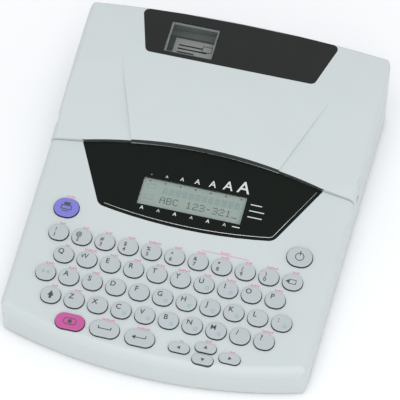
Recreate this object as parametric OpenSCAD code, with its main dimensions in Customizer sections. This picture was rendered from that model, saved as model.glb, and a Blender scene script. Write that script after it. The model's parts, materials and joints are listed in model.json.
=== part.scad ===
// Desktop label maker with a full keyboard, a display and a hinged tape cover.
// +X is to the right, +Y to the back, +Z up; the origin is under the middle of the body.

/* [Body] */
// Width of the body at its back corners
back_w = 209; // [200:1:230]
// Width of the body at its front corners
front_w = 200; // [190:1:220]
// Depth of the body on its centre line
body_d = 256; // [246:1:290]
// How far the front edge bows out
front_bulge = 15; // [8:1:20]
// How far the back edge bows out
back_bulge = 6.5; // [3:0.5:9]
// Radius of the four upright corners
corner_r = 9; // [6:0.5:14]
// Wall thickness of the two case halves
wall = 2.4; // [1.8:0.1:3]
// Height of the rubber feet under the case
foot_h = 2; // [1:0.5:4]
// Height of the seam between the case halves
split_z = 18; // [17:0.5:19]

/* [Deck] */
// Height of the deck plane above the middle of the body
deck_z = 40; // [38:0.5:44]
// Slope of the deck towards the user, in degrees
deck_slope = 5.7; // [4:0.1:7]
// Radius of the rounded front lip
lip_r = 6.5; // [3:0.5:9]
// Radius along the side edges of the deck
side_r = 4; // [2:0.5:6]

/* [Tape cover] */
// Height of the cover's front edge on the centre line
cover_front_z = 46.5; // [45.5:0.5:50]
// Height of the cover's back edge on the centre line
cover_back_z = 60.5; // [58:0.5:68]
// How far the cover's top bows above its chord
cover_crown = 2.5; // [1:0.1:4]
// Depth at which the cover starts, on the centre line
cover_start_y = 27; // [20:1:34]
// Radius of the cover's bowed front edge
cover_arc_r = 310; // [250:5:400]
// Wall thickness of the cover
cover_wall = 2.2; // [1.8:0.1:2.6]
// Height of the cover's bottom rim
cover_rim_z = 31.3; // [31:0.1:34]
// Height of the hinge line at the back
hinge_z = 28; // [27:0.5:29]
// Distance of the hinge knuckles from the centre line
hinge_x = 62; // [50:1:75]
// Radius of the cover's rounded top edges
cover_r = 4.5; // [2:0.5:6]

/* [Keys] */
// Distance between the keys of a row
key_pitch = 15.47; // [15:0.1:16.5]
// Distance between the rows
row_pitch = 15; // [14:0.1:16]
// Width of a letter key
key_w = 13; // [11:0.1:13.5]
// Depth of a letter key
key_d = 11.4; // [10:0.1:12]
// How far the keys stand above the deck
key_proud = 1.6; // [1.3:0.1:2.2]
// Distance that a key travels
key_travel = 1.2; // [0.8:0.1:1.3]
// Gap around each key
key_gap = 0.35; // [0.25:0.05:0.5]

/* [Display] */
// Width of the display's clear window
window_w = 69; // [60:1:74]
// Depth of the display's clear window
window_d = 20.5; // [16:0.5:22]
// Thickness of the display panel
panel_t = 1.5; // [1.2:0.1:1.6]

/* [Tape drive] */
// Tooth size of all the gears
gear_m = 0.8; // [0.7:0.05:0.9]
// Width of the tape cassette
cassette_w = 68; // [66:1:72]
// Depth of the tape cassette
cassette_d = 52; // [50:1:54]
// Height of the tape cassette
cassette_h = 18; // [16:0.5:18]
// Width of the label tape
tape_w = 12; // [9:1:12]

/* [Battery] */
// Diameter of one cell
cell_d = 14.2; // [13.5:0.1:14.5]
// Length of one cell with its end cap
cell_l = 50.2; // [49:0.1:51]

/* [Hidden] */

eps = 0.01;
big = 400;
part_gap = 0.4;       // seam between pieces that come apart
fit_gap = 0.1;        // gap around pieces that are seated
run_gap = 0.06;       // radial play of a shaft in its hole
seat_gap = 0.3;       // play between touching pieces of different bodies
edge_bite = 0.12;     // how far an edge's round is set into its faces

// Outline of the body, seen from above
front_y = -body_d / 2;
back_y = body_d / 2;
corner_front_y = front_y + front_bulge;
corner_back_y = back_y - back_bulge;
side_slope = (back_w - front_w) / 2 / (corner_back_y - corner_front_y);
side_angle = atan(side_slope);
function half_width(y) = front_w / 2 + side_slope * (y - corner_front_y);
front_arc_r = (pow(front_w / 2, 2) + pow(front_bulge, 2)) / (2 * front_bulge);
front_arc_y = front_y + front_arc_r;
back_arc_r = (pow(back_w / 2, 2) + pow(back_bulge, 2)) / (2 * back_bulge);
back_arc_y = back_y - back_arc_r;

// Top of the cover: an arc through its front and back edges
chord = [back_y - cover_start_y, cover_back_z - cover_front_z];
chord_l = norm(chord);
top_r = pow(chord_l, 2) / (8 * cover_crown) + cover_crown / 2;
top_mid = [cover_start_y + chord[0] / 2, cover_front_z + chord[1] / 2];
top_c = top_mid - (top_r - cover_crown) * [-chord[1], chord[0]] / chord_l;
cover_arc_y = cover_start_y - cover_arc_r;
// Beyond this width the cover's bowed front edge runs on straight, and less steeply
end_x = 80;
end_slope = 0.146;
function end_y(back) = cover_arc_y + sqrt(pow(cover_arc_r + back, 2) - pow(end_x, 2));
// Crease between the cover's top and its sloping front corner
facet_a = [half_width(cover_start_y) - 23.7, cover_start_y - 11.5];
facet_b = [half_width(cover_start_y + 43) - 3.5, cover_start_y + 43];
facet_drop = 1.3;     // fall of the front corner below the top
facet_out = 25;

hinge_y = corner_back_y;
cover_open = 75;
// Room for the cover's bottom rim, and for its back wall, as they turn
hinge_sweep_r = norm([back_bulge, cover_rim_z - hinge_z]) + seat_gap;
back_sweep = back_bulge * (1 - cos(cover_open)) / sin(cover_open) + 1;
groove_in = 3.2;      // how far the hinge groove reaches in front of the hinge
knuckle_r = 2.3;
knuckle_l = 8;
ear_l = 3;
hinge_pin_r = 1.25;
tub_gap = 1;          // between the cover's inside and the tub under it
tub_wall = 1.8;
tub_inset = cover_wall + tub_gap;
tub_top_z = 42;
tub_t = 2;
ledge_t = 2;
rail_y = hinge_y - 5.2; // front of the solid rail that carries the hinge
rail_over = 1.4;      // height of that rail above the cover's rim

floor_t = 2.4;
floor_z = foot_h;
inside_z = floor_z + floor_t;

// Deck layout, in the deck's own plane
deck_t = wall - 0.2;
front_v = front_y / cos(deck_slope);
row_1_v = front_v + 74.8;
row_v = [for (i = [0:3]) row_1_v - i * row_pitch];
row_n = [11, 10, 11, 10];
flange_w = 0.7;       // width of the rim that keeps a key in
flange_t = 0.7;
flange_drop = 0.25;
mat_drop = key_travel + 0.1; // from a key's plunger down to the mat
mat_t = 1;
board_t = 1.6;
oval_key = [16.5, 14];
oval_x = 77.6;
oval_v = row_1_v + 18.8;
stadium_key = [19.2, 11.2];
arrow_key = [13.6, 6.8];
// Places of the keys of the lowest row
key_code = [-52.5, front_v + 14.4];
key_space = [-29.8, front_v + 14.4];
key_return = [-6.6, front_v + 13.6];
key_left = [19, front_v + 13];
key_up = [35.3, front_v + 16.8];
key_down = [35.3, front_v + 8.5];
key_right = [51.6, front_v + 13];
plunger_r = 2.4;
skirt_drop = 1.1;     // length of the plunger below the flange
plunger_w = -(deck_t + flange_drop + flange_t + skirt_drop);
mat_top_w = plunger_w - mat_drop - seat_gap;
board_w = mat_top_w - mat_t - fit_gap;

// Display
panel_bottom_v = -32.5;
panel_bottom_r = 330;
// Left and right ends of the panel's slanting sides
panel_high = [80, 14];
panel_low = [55, -34];
panel_corner_r = 7;
window_v = -10;
lcd_t = 3;

// Cassette and bay
cassette_y = rail_y - seat_gap - cassette_d; // front edge
tape_y = cassette_y + 2.4;
cassette_side = 29.4;  // from the cassette's left edge to the body's side
cassette_x = cassette_side - half_width(tape_y);
cassette_z = 28;
cassette_wall = 1.2;
tape_bay_x = [cassette_x - 23, cassette_x + cassette_w + 4];
tape_bay_y = [cassette_y - 17, hinge_y - 4.5];
chassis_z = 25;
chassis_t = 2;
bay_margin = 1;
bay_wall_y = cassette_y - 14;
chassis_x = [cassette_x - 22, cassette_x + cassette_w + 31];
chassis_y = [cassette_y - 19.5, rail_y - part_gap];
head_x = cassette_x + 15;
tape_t = 0.3;
drive_play = 0.15;    // between the tape and its drive roller
tape_z = cassette_z + (cassette_h - tape_w) / 2;
roller_r = 3;
roller_y = tape_y - seat_gap - roller_r;
drive_roller_r = 2.6;
drive = [cassette_x + 4.5, tape_y + tape_t + drive_play + drive_roller_r];
supply = [cassette_x + 14, cassette_y + 40];
tape_spool = [cassette_x + 46, cassette_y + 30];
tape_spool_r = 18.6;
tape_bore = 6;
supply_r = 9.4;
supply_bore = 4;
takeup_r = 7.4;

// Gears, all turning about upright axes
pinion_n = 12;
idler_2_n = 36;
ribbon_n = 26;
feed_n = 20;
gear_play = 0.15;
gear_z = 19.6;
gear_t = 4.6;
function reach(a, b) = gear_m * (a + b) / 2 + gear_play;
takeup_angle = 51.7;  // direction from the drive roller to the take-up reel
takeup = drive + reach(ribbon_n, feed_n) * [cos(takeup_angle), sin(takeup_angle)];
motor = [cassette_x + cassette_w + 16, cassette_y + 20];
idler_2_angle = -25;
idler_2 = takeup + reach(idler_2_n, ribbon_n) * [cos(idler_2_angle), sin(idler_2_angle)];
// Enough teeth for this gear to reach the motor
idler_1_n = max(44, ceil((norm(motor - idler_2) + 2) / gear_m) - 24);
// Place that lies at r1 from p and at r2 from q
function meet(p, q, r1, r2) =
  let (d = norm(q - p), a = (r1 * r1 - r2 * r2 + d * d) / (2 * d), h = sqrt(r1 * r1 - a * a), u = (q - p) / d)
  p + a * u + h * [u[1], -u[0]];
idler_1 = meet(idler_2, motor, reach(idler_2_n, idler_1_n), reach(idler_1_n, pinion_n));
function heading(p, q) = atan2(q[1] - p[1], q[0] - p[0]);
// Turn of gear b that puts a gap where gear a, turned by ta, has a tooth
function mesh_turn(a, na, ta, b, nb) =
  let (h = heading(a, b), off = ta - h - round((ta - h) / (360 / na)) * 360 / na)
  h + 180 - off * na / nb + 180 / nb;
turn_pinion = 0;
turn_idler_1 = mesh_turn(motor, pinion_n, turn_pinion, idler_1, idler_1_n);
turn_idler_2 = mesh_turn(idler_1, idler_1_n, turn_idler_1, idler_2, idler_2_n);
turn_ribbon = mesh_turn(idler_2, idler_2_n, turn_idler_2, takeup, ribbon_n);
turn_feed = mesh_turn(takeup, ribbon_n, turn_ribbon, drive, feed_n);
shaft_r = 1.5;
motor_r = 11.5;
motor_h = 11.6;
motor_shaft_r = 1;

// Cutter
cutter_x = cassette_x - 10;
blade_t = 0.8;
cutter_gear_p = [cassette_x - 14, cassette_y - 13];
crank_r = 5;
crank_angle = -30;
crank_pin_r = 1.1;

// Label exit in the left side
exit_y = tape_y;
exit_w = 15;
exit_bottom_z = 27;
exit_top_z = 45;
// How far the notch over the exit swings to the front as the cover opens
exit_sweep = pow(exit_top_z - hinge_z, 2) / 4 / (hinge_y - exit_y);
exit_slot_w = 3.4;
exit_slot_h = 14;

// Battery bay
bay_rows = 3;
bay_w = 2 * cell_l + 7;
cell_pitch = cell_d + 0.5;
bay_d = bay_rows * cell_pitch + 0.6;
bay_y = -74;
bay_wall = 1.5;
cover_plate_t = 1.8;
cover_slide = 8;
bay_roof_z = inside_z + cell_d + 0.8;

screw_r = 1.5;
screw_head_r = 2.8;
// Depths of the screws and how far each stands in from the body's side
screw_rows = [[front_y + 32, 6.8], [-10, 8], [back_y - 20, 10.2]];
screw_spots = [for (s = [-1, 1], row = screw_rows) [s * (half_width(row[0]) - row[1]), row[0]]];
screw_post_r = 3.6;
foot_side = 22;
foot_end = 28;
foot_spots = [
  for (s = [-1, 1], y = [front_y + foot_end, back_y - foot_end]) [s * (half_width(y) - foot_side), y]
];
foot_r = 6;
foot_in = 1;

silver = [0.80, 0.83, 0.82];
grey = [0.74, 0.77, 0.77];
black = [0.1, 0.11, 0.1];
steel = [0.7, 0.71, 0.73];
cream = [0.88, 0.87, 0.82];

// ---------------------------------------------------------------- outlines

function top_at(y) = top_c[1] + sqrt(top_r * top_r - pow(y - top_c[0], 2));

// Centre of a corner's round, which touches the side line and an end arc from inside
function corner_centre(arc_y, arc_r, way) =
  let (
    a = front_w / 2 - corner_r / cos(side_angle) - side_slope * corner_front_y,
    k = side_slope, m = arc_r - corner_r, qa = 1 + k * k, qb = a * k - arc_y,
    qc = a * a + arc_y * arc_y - m * m,
    y = (-qb + way * sqrt(qb * qb - qa * qc)) / qa
  ) [a + k * y, y];
front_corner = corner_centre(front_arc_y, front_arc_r, -1);
back_corner = corner_centre(back_arc_y, back_arc_r, 1);

// Waste outside a corner's round, between two directions
module corner_waste(c, a1, a2, r) {
  reach_out = 4 * corner_r;
  mid = (a1 + a2) / 2;
  difference() {
    polygon([
      c, c + reach_out * [cos(a1), sin(a1)],
      c + 2 * reach_out * [cos(mid), sin(mid)], c + reach_out * [cos(a2), sin(a2)]
    ]);
    translate(c) circle(r = r, $fn = 64);
  }
}

module both_sides() {
  children();
  mirror([1, 0, 0]) children();
}

// Outline of the body, drawn in by a distance
module outline(inset = 0) {
  x0 = half_width(-body_d) - inset / cos(side_angle);
  x1 = half_width(body_d) - inset / cos(side_angle);
  r = max(corner_r - inset, 1);
  difference() {
    intersection() {
      polygon([[-x0, -body_d], [x0, -body_d], [x1, body_d], [-x1, body_d]]);
      translate([0, front_arc_y]) circle(r = front_arc_r - inset, $fn = 180);
      translate([0, back_arc_y]) circle(r = back_arc_r - inset, $fn = 360);
    }
    both_sides() {
      corner_waste(front_corner, -side_angle, atan2(front_corner[1] - front_arc_y, front_corner[0]), r);
      corner_waste(back_corner, -side_angle, atan2(back_corner[1] - back_arc_y, back_corner[0]), r);
    }
  }
}

module outline_block(inset, z0, z1) {
  translate([0, 0, z0]) linear_extrude(z1 - z0) outline(inset);
}

module on_deck() {
  translate([0, 0, deck_z]) rotate([deck_slope, 0, 0]) children();
}

module at_deck(p, w = 0) {
  translate([p[0], p[1], w]) children();
}

// Disc under the deck plane, whose rim is the leaning, rounded front face
module deck_disc(inset) {
  r = front_arc_r - inset;
  round_r = inset > 0 ? max(0.6 * (lip_r - inset), 1) : lip_r;
  on_deck() translate([0, front_v - lip_r * tan(deck_slope) + front_arc_r, -inset]) rotate_extrude($fn = 180)
    difference() {
      translate([0, -60]) square([r, 60]);
      translate([r - round_r, -round_r]) difference() {
        square(round_r + 1);
        circle(r = round_r, $fn = 48);
      }
    }
}

// Waste along one side edge of the deck
module deck_side_waste(inset) {
  r = max(side_r - inset, 0.8);
  on_deck() translate([half_width(0) - inset, 0, -inset]) rotate([0, 0, -side_angle]) translate([-r, 0, -r])
    difference() {
      translate([0, -body_d, 0]) cube([r + 4, 2 * body_d, r + 4]);
      translate([0, body_d + 1, 0]) rotate([90, 0, 0]) cylinder(r = r, h = 2 * body_d + 2, $fn = 48);
    }
}

// Everything in front of the cover's front edge, moved back by a distance
module ahead_of_cover(back, z0) {
  translate([0, cover_arc_y, z0]) cylinder(r = cover_arc_r + back, h = 100, $fn = 180);
  x0 = end_x - 20;
  x1 = end_x + 50;
  translate([0, 0, z0]) linear_extrude(100) both_sides() polygon([
    [x0, end_y(back) + 20 * end_slope], [x1, end_y(back) - 50 * end_slope], [x1, -body_d], [x0, -body_d]
  ]);
}

// Body under the deck, in front of the cover
module front_form(inset, z0) {
  difference() {
    intersection() {
      outline_block(inset, z0, 60);
      deck_disc(inset);
      ahead_of_cover(-part_gap / 2 - inset / 2, z0);
    }
    both_sides() deck_side_waste(inset);
  }
}

// Sloping front corner of the cover
module facet_waste(inset) {
  za = top_at(facet_a[1]);
  zb = top_at(facet_b[1]);
  run = norm(facet_b - facet_a);
  translate([facet_a[0], facet_a[1], za - inset])
    rotate([0, 0, heading(facet_a, facet_b)])
      rotate([0, -atan2(zb - za, run), 0])
        rotate([atan2(facet_drop, facet_out), 0, 0])
          translate([-100, -100, 0]) cube([300, 130, 50]);
}

// Waste outside an edge's round; the round meets both faces at a slight angle
module edge_waste(r) {
  translate([edge_bite - r, edge_bite - r]) difference() {
    square(r + 6);
    circle(r = r, $fn = 48);
  }
}

// Waste along the cover's side edge, which follows the bowed top
module cover_side_waste() {
  mid_y = top_mid[0];
  translate([half_width(mid_y), mid_y, top_c[1]]) rotate([0, 0, -side_angle])
    translate([0, top_c[0] - mid_y, 0]) rotate([0, 90, 0])
      rotate_extrude($fn = 360) translate([top_r, 0]) edge_waste(cover_r);
}

// Waste along the cover's back edge
module cover_back_waste() {
  translate([0, back_arc_y, cover_back_z]) rotate_extrude($fn = 360)
    translate([back_arc_r, 0]) edge_waste(cover_r + 1);
}

// Space in front of the cover's front edge
module cover_front_waste(inset) {
  ahead_of_cover(part_gap / 2 + inset, 0);
}

// What stays at a depth under the cover's top, where that falls to its front corners
module under_cover_front(depth) {
  y0 = cover_start_y - 30;
  y1 = cover_start_y + 4;
  difference() {
    children();
    rotate([90, 0, 90]) linear_extrude(big, center = true)
      polygon([[y0, top_at(y0) - depth], [y1, top_at(y1) - depth], [y1, 100], [y0, 100]]);
    both_sides() facet_waste(depth);
  }
}

// The cover's outer shape, with its edges rounded
module cover_skin() {
  difference() {
    intersection() {
      outline_block(0, cover_rim_z, 80);
      translate([0, top_c[0], top_c[1]]) rotate([0, 90, 0])
        cylinder(r = top_r, h = big, center = true, $fn = 360);
    }
    cover_front_waste(0);
    both_sides() {
      facet_waste(0);
      cover_side_waste();
    }
    cover_back_waste();
  }
}

// Hollow of the cover, under a top made of flat strips
module cover_cavity() {
  strips = 12;
  y0 = cover_start_y - 30;
  dy = (back_y - y0) / strips;
  difference() {
    intersection() {
      outline_block(cover_wall, cover_rim_z - 1, 80);
      rotate([90, 0, 90]) linear_extrude(big, center = true) polygon(concat(
        [[y0, 0]], [for (i = [0:strips]) [y0 + i * dy, top_at(y0 + i * dy) - cover_wall]], [[back_y, 0]]
      ));
    }
    cover_front_waste(cover_wall);
    both_sides() facet_waste(cover_wall);
  }
}

// Flat shape with round corners
module round_rect(size, r) {
  w = size[0];
  d = size[1];
  for (s = [[w - 2 * r, d], [w, d - 2 * r]]) if (min(s) > eps) square(s, center = true);
  for (x = [-1, 1], y = [-1, 1]) translate([x * (w / 2 - r), y * (d / 2 - r)]) circle(r = r, $fn = 48);
}

module round_plate(size, r, t) {
  linear_extrude(t) round_rect(size, r);
}

module post(r, h, hole_r = 0) {
  difference() {
    cylinder(r = r, h = h, $fn = 48);
    if (hole_r > 0) translate([0, 0, -1]) cylinder(r = hole_r, h = h + 2, $fn = 48);
  }
}

// ---------------------------------------------------------------- keys

function corner_of(size) = min(size) / 2 - 0.05;
function key_corner(size) = min(size) * 0.49;
function row_x(row, i) = (i - (row_n[row] - 1) / 2) * key_pitch;
function row_key(row, i) = [row_x(row, i), row_v[row]];

letter_key = [key_w, key_d];
side_rim = [1, -0.5];
// Place, size and corner radius of every key on the deck
all_keys = concat(
  [for (row = [0:3], i = [0:row_n[row] - 1]) [row_key(row, i), letter_key, key_corner(letter_key)]],
  [[[-oval_x, oval_v], oval_key, corner_of(oval_key)], [[oval_x, oval_v], oval_key, corner_of(oval_key)]],
  [for (p = [key_code, key_space, key_return]) [p, stadium_key, corner_of(stadium_key)]],
  [for (p = [key_left, key_up, key_down, key_right]) [p, arrow_key, corner_of(arrow_key)]]
);

// Key with a plunger, and a rim under the deck that keeps it in; the lowest row's rims are at the sides only
module key(p, size, r, rim = [1, 1]) {
  body_bottom = -(deck_t + flange_drop);
  on_deck() at_deck(p) {
    translate([0, 0, body_bottom - eps]) round_plate(size, r, key_proud - body_bottom + eps);
    translate([0, 0, body_bottom - flange_t])
      round_plate(size + 2 * flange_w * rim, r + flange_w * min(rim), flange_t);
    translate([0, 0, plunger_w]) cylinder(r = plunger_r, h = skirt_drop + eps, $fn = 32);
  }
}

module key_holes() {
  on_deck() for (k = all_keys) at_deck(k[0], -deck_t - 4)
    round_plate(k[1] + 2 * key_gap * [1, 1], k[2] + key_gap, deck_t + 10);
}

module key_row(row, from, to) {
  for (i = [from:to]) key(row_key(row, i), letter_key, key_corner(letter_key));
}

module digit_keys() { color(silver) key_row(0, 0, 9); }
module top_letter_keys() { color(silver) key_row(1, 0, 9); }
module home_letter_keys() { color(silver) key_row(2, 1, 10); }
module low_letter_keys() { color(silver) key_row(3, 1, 9); }
module delete_key() { color(silver) key_row(0, 10, 10); }
module alt_key() { color(silver) key_row(2, 0, 0); }
module shift_key() { color(silver) key_row(3, 0, 0); }
module print_key() { color([0.5, 0.5, 0.82]) key([-oval_x, oval_v], oval_key, corner_of(oval_key)); }
module power_key() { color(grey) key([oval_x, oval_v], oval_key, corner_of(oval_key)); }
module code_key() { color([0.74, 0.33, 0.6]) key(key_code, stadium_key, corner_of(stadium_key), side_rim); }
module space_key() { color(silver) key(key_space, stadium_key, corner_of(stadium_key), side_rim); }
module return_key() { color(silver) key(key_return, stadium_key, corner_of(stadium_key), side_rim); }
module left_key() { color(silver) key(key_left, arrow_key, corner_of(arrow_key), side_rim); }
module up_key() { color(silver) key(key_up, arrow_key, corner_of(arrow_key), side_rim); }
module down_key() { color(silver) key(key_down, arrow_key, corner_of(arrow_key), side_rim); }
module right_key() { color(silver) key(key_right, arrow_key, corner_of(arrow_key), side_rim); }

mat_size = [2 * oval_x + oval_key[0] + 4, 101];
mat_v = row_1_v - 21.7;
board_size = mat_size + [2, 2];

// Silicone sheet with a dome ring under every key
module keypad_mat() {
  ring_h = 1;
  color([0.55, 0.57, 0.57]) inside_front(wall + 1) on_deck() difference() {
    union() {
      translate([0, mat_v, mat_top_w - mat_t]) round_plate(mat_size, 6, mat_t);
      for (k = all_keys) at_deck(k[0], mat_top_w - eps)
        difference() {
          cylinder(r = plunger_r + 1.1, h = ring_h, $fn = 32);
          translate([0, 0, -1]) cylinder(r = plunger_r + 0.3, h = ring_h + 2, $fn = 32);
        }
    }
    for (p = board_screw_spots) at_deck(p, mat_top_w - mat_t - 1) cylinder(r = 3.4, h = 6, $fn = 32);
  }
}

// Whatever of its children lies inside the leaning front wall
module inside_front(inset) {
  intersection() {
    children();
    deck_disc(inset);
    outline_block(inset, 0, 80);
  }
}

board_screw_spots = [[-62, oval_v], [62, oval_v], [0, oval_v], [76, front_v + 24.6], [-76, front_v + 18.6]];
module key_board() {
  color([0.1, 0.35, 0.2]) inside_front(wall + 1) on_deck()
    translate([0, mat_v, board_w - board_t]) difference() {
    round_plate(board_size, 6, board_t);
    for (p = board_screw_spots) translate([p[0], p[1] - mat_v, -1]) cylinder(r = 1.5, h = 5, $fn = 32);
  }
}

// ---------------------------------------------------------------- case

module screw_posts(z0, z1, r, hole_r) {
  for (p = screw_spots) translate([p[0], p[1], z0]) post(r, z1 - z0, hole_r);
}

jack_x = 64;
jack_z = 10.5;
module jack_place() {
  translate([jack_x, back_y, jack_z]) children();
}

module battery_void(grow = 0) {
  translate([-bay_w / 2 - grow, bay_y - bay_d / 2 - grow, floor_z - 1])
    cube([bay_w + 2 * grow, bay_d + 2 * grow, bay_roof_z - floor_z + 1 + grow]);
}

plate_size = [bay_w + 5, bay_d + 5];
module bottom_case() {
  color(silver) difference() {
    union() {
      intersection() {
        difference() {
          outline_block(0, floor_z, split_z);
          intersection() {
            outline_block(wall, inside_z, split_z + 1);
            deck_disc(wall);
          }
        }
        deck_disc(0);
      }
      battery_void(bay_wall);
      screw_posts(floor_z, split_z, screw_post_r, 0);
    }
    battery_void(0);
    // Channel in which the battery cover slides
    translate([-plate_size[0] / 2 - part_gap, bay_y - plate_size[1] / 2 - part_gap, floor_z - 1])
      cube([plate_size[0] + 2 * part_gap, plate_size[1] + 2 * part_gap + cover_slide,
        1 + cover_plate_t + 0.3]);
    for (p = screw_spots) translate([p[0], p[1], floor_z - 1]) {
      cylinder(r = screw_r + run_gap, h = 30, $fn = 32);
      cylinder(r = screw_head_r + 0.2, h = 5, $fn = 32);
    }
    for (p = foot_spots) translate([p[0], p[1], floor_z - 1])
      cylinder(r = foot_r + fit_gap, h = 1 + foot_in, $fn = 48);
    jack_place() rotate([90, 0, 0]) cylinder(r = 4.1, h = 30, center = true, $fn = 48);
  }
}

module screw_post_holes(z) {
  for (p = screw_spots) translate([p[0], p[1], split_z - 1]) cylinder(r = screw_r + run_gap, h = z, $fn = 32);
}

// Room for the cover's bottom rim and knuckles as they turn
module hinge_groove() {
  from_left = -big / 2;
  intersection() {
    union() {
      translate([from_left, hinge_y, hinge_z]) rotate([0, 90, 0])
        cylinder(r = hinge_sweep_r, h = big, $fn = 64);
      translate([from_left, hinge_y + back_bulge / 2, hinge_z - back_sweep]) cube([big, 40, back_sweep]);
    }
    union() {
      translate([from_left, hinge_y - groove_in, 0]) cube([big, 40, cover_rim_z - 0.6]);
      difference() {
        translate([from_left, hinge_y - groove_in, 0]) cube([big, 40, cover_rim_z + 1]);
        outline_block(tub_inset, 0, tub_top_z);
      }
    }
  }
}

// Display panel's outline, which runs on under the cover's front edge
module display_outline(inset) {
  past = panel_high + panel_high - panel_low;
  offset(r = panel_corner_r - inset, $fn = 48) offset(delta = -panel_corner_r) intersection() {
    both_sides() polygon([[0, panel_low[1]], panel_low, past, [0, past[1]]]);
    translate([0, panel_bottom_v + panel_bottom_r]) circle(r = panel_bottom_r, $fn = 180);
  }
}

module top_case() {
  side_top_z = cover_rim_z - part_gap;
  color(silver) difference() {
    union() {
      difference() {
        union() {
          front_form(0, split_z);
          behind_deck(1) {
            outline_block(0, split_z, side_top_z);
            under_cover_front(cover_wall + tub_gap) outline_block(tub_inset, split_z, tub_top_z);
          }
        }
        difference() {
          union() {
            front_form(wall, split_z - 1);
            behind_deck(3) {
              outline_block(wall, split_z - 1, side_top_z - ledge_t);
              under_cover_front(cover_wall + tub_gap + tub_t)
                outline_block(tub_inset + tub_wall, split_z - 1, tub_top_z - tub_t);
            }
          }
          translate([-big / 2, rail_y, 0]) cube([big, 60, cover_rim_z + rail_over]);
        }
        // Tape bay opening
        translate([tape_bay_x[0], tape_bay_y[0], tub_top_z - 20])
          cube([tape_bay_x[1] - tape_bay_x[0], tape_bay_y[1] - tape_bay_y[0], 40]);
      }
      intersection() {
        screw_posts(split_z, deck_z, screw_post_r, 0);
        union() {
          front_form(wall / 2, split_z);
          behind_deck(3) under_cover_front(cover_wall + tub_gap + 1)
            outline_block(tub_inset + 0.5, split_z, tub_top_z - 1);
        }
      }
    }
    screw_post_holes(12);
    key_holes();
    intersection() {
      on_deck() translate([0, 0, -panel_t]) linear_extrude(10) display_outline(0);
      ahead_of_cover(-part_gap / 2 + eps, 0);
    }
    on_deck() translate([0, window_v, -10]) linear_extrude(20)
      square([window_w + 3, window_d + 3], center = true);
    hinge_groove();
    exit_room();
    finger_notches();
  }
  color(silver) for (x = [-1, 1], y = [-1, 1]) hinge_ear(x * hinge_x + y * (knuckle_l + ear_l + 0.8) / 2);
}

// The stretch behind the deck's bowed back edge, lapped under it
module behind_deck(lap) {
  difference() {
    union() children();
    ahead_of_cover(-part_gap / 2 - lap, -1);
  }
}

module hinge_ear(x) {
  translate([x - ear_l / 2, hinge_y, hinge_z]) rotate([90, 0, 90]) difference() {
    union() {
      cylinder(r = 3, h = ear_l, $fn = 48);
      translate([-4, -3, 0]) cube([4, 6, ear_l]);
    }
    translate([0, 0, -1]) cylinder(r = hinge_pin_r + fit_gap / 2, h = ear_l + 2, $fn = 32);
  }
}

module finger_notches() {
  y = cover_start_y + 1;
  both_sides() translate([half_width(y) + 6.5, y, cover_rim_z - 8]) cylinder(r = 8, h = 30, $fn = 48);
}

// Space that the exit bezel takes in the left side
module exit_room(gap = 0, sweep = 0) {
  translate([-half_width(exit_y) - 5, exit_y - exit_w / 2 - gap - sweep, exit_bottom_z])
    cube([12, exit_w + 2 * gap + sweep, exit_top_z - exit_bottom_z + gap]);
}

module exit_bezel() {
  color(black) difference() {
    intersection() {
      translate([-half_width(exit_y) - 5, exit_y - exit_w / 2 + fit_gap, exit_bottom_z + fit_gap])
        cube([11.8, exit_w - 2 * fit_gap, exit_top_z - exit_bottom_z - fit_gap]);
      outline_block(0.2, 20, 60);
    }
    translate([-half_width(exit_y) - 10, exit_y - exit_slot_w / 2, tape_z - 1])
      cube([30, exit_slot_w, exit_slot_h]);
  }
}

module rubber_feet() {
  color([0.15, 0.15, 0.15]) for (p = foot_spots) translate([p[0], p[1], 0])
    cylinder(r = foot_r, h = floor_z + foot_in - eps, $fn = 48);
}

module case_screws() {
  color(steel) for (p = screw_spots) translate([p[0], p[1], floor_z + 1.6]) difference() {
    union() {
      cylinder(r = screw_head_r, h = 2.4 - eps, $fn = 32);
      cylinder(r = screw_r, h = 22, $fn = 32);
    }
    translate([0, 0, -1]) cylinder(r = 1.3, h = 2.2, $fn = 6);
  }
}

module dc_jack() {
  color(black) jack_place() {
    difference() {
      union() {
        translate([0, -back_y + jack_face_y(), 0]) rotate([90, 0, 0]) cylinder(r = 4, h = 6, $fn = 48);
        translate([-5, -back_y + jack_face_y() - 17, -5.6]) cube([10, 12, 11]);
      }
      translate([0, -back_y + jack_face_y() + 1, 0]) rotate([90, 0, 0]) cylinder(r = 2.75, h = 10, $fn = 48);
    }
    translate([0, -back_y + jack_face_y() - 1, 0]) rotate([90, 0, 0]) cylinder(r = 1, h = 9, $fn = 32);
  }
}
function jack_face_y() = back_arc_y + sqrt(pow(back_arc_r, 2) - pow(jack_x + 4, 2)) - 0.5;

// ---------------------------------------------------------------- display

module display_panel() {
  color(black) difference() {
    intersection() {
      on_deck() translate([0, 0, -panel_t + fit_gap / 2]) linear_extrude(panel_t - fit_gap / 2)
        display_outline(fit_gap);
      ahead_of_cover(-part_gap / 2 - fit_gap, 0);
    }
    on_deck() translate([0, window_v, -panel_t - 1]) linear_extrude(panel_t + 2)
      square([window_w + 2 * fit_gap, window_d + 2 * fit_gap], center = true);
  }
}

module display_window() {
  color([0.6, 0.66, 0.62, 0.5]) on_deck() translate([0, window_v, -panel_t])
    translate([0, 0, 0.2]) linear_extrude(panel_t - 0.4) square([window_w, window_d], center = true);
}

module lcd_module() {
  color([0.65, 0.7, 0.62]) on_deck() translate([0, window_v, -panel_t - 0.2 - lcd_t])
    linear_extrude(lcd_t) square([window_w + 2, window_d + 2], center = true);
}

// ---------------------------------------------------------------- tape cover

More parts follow.
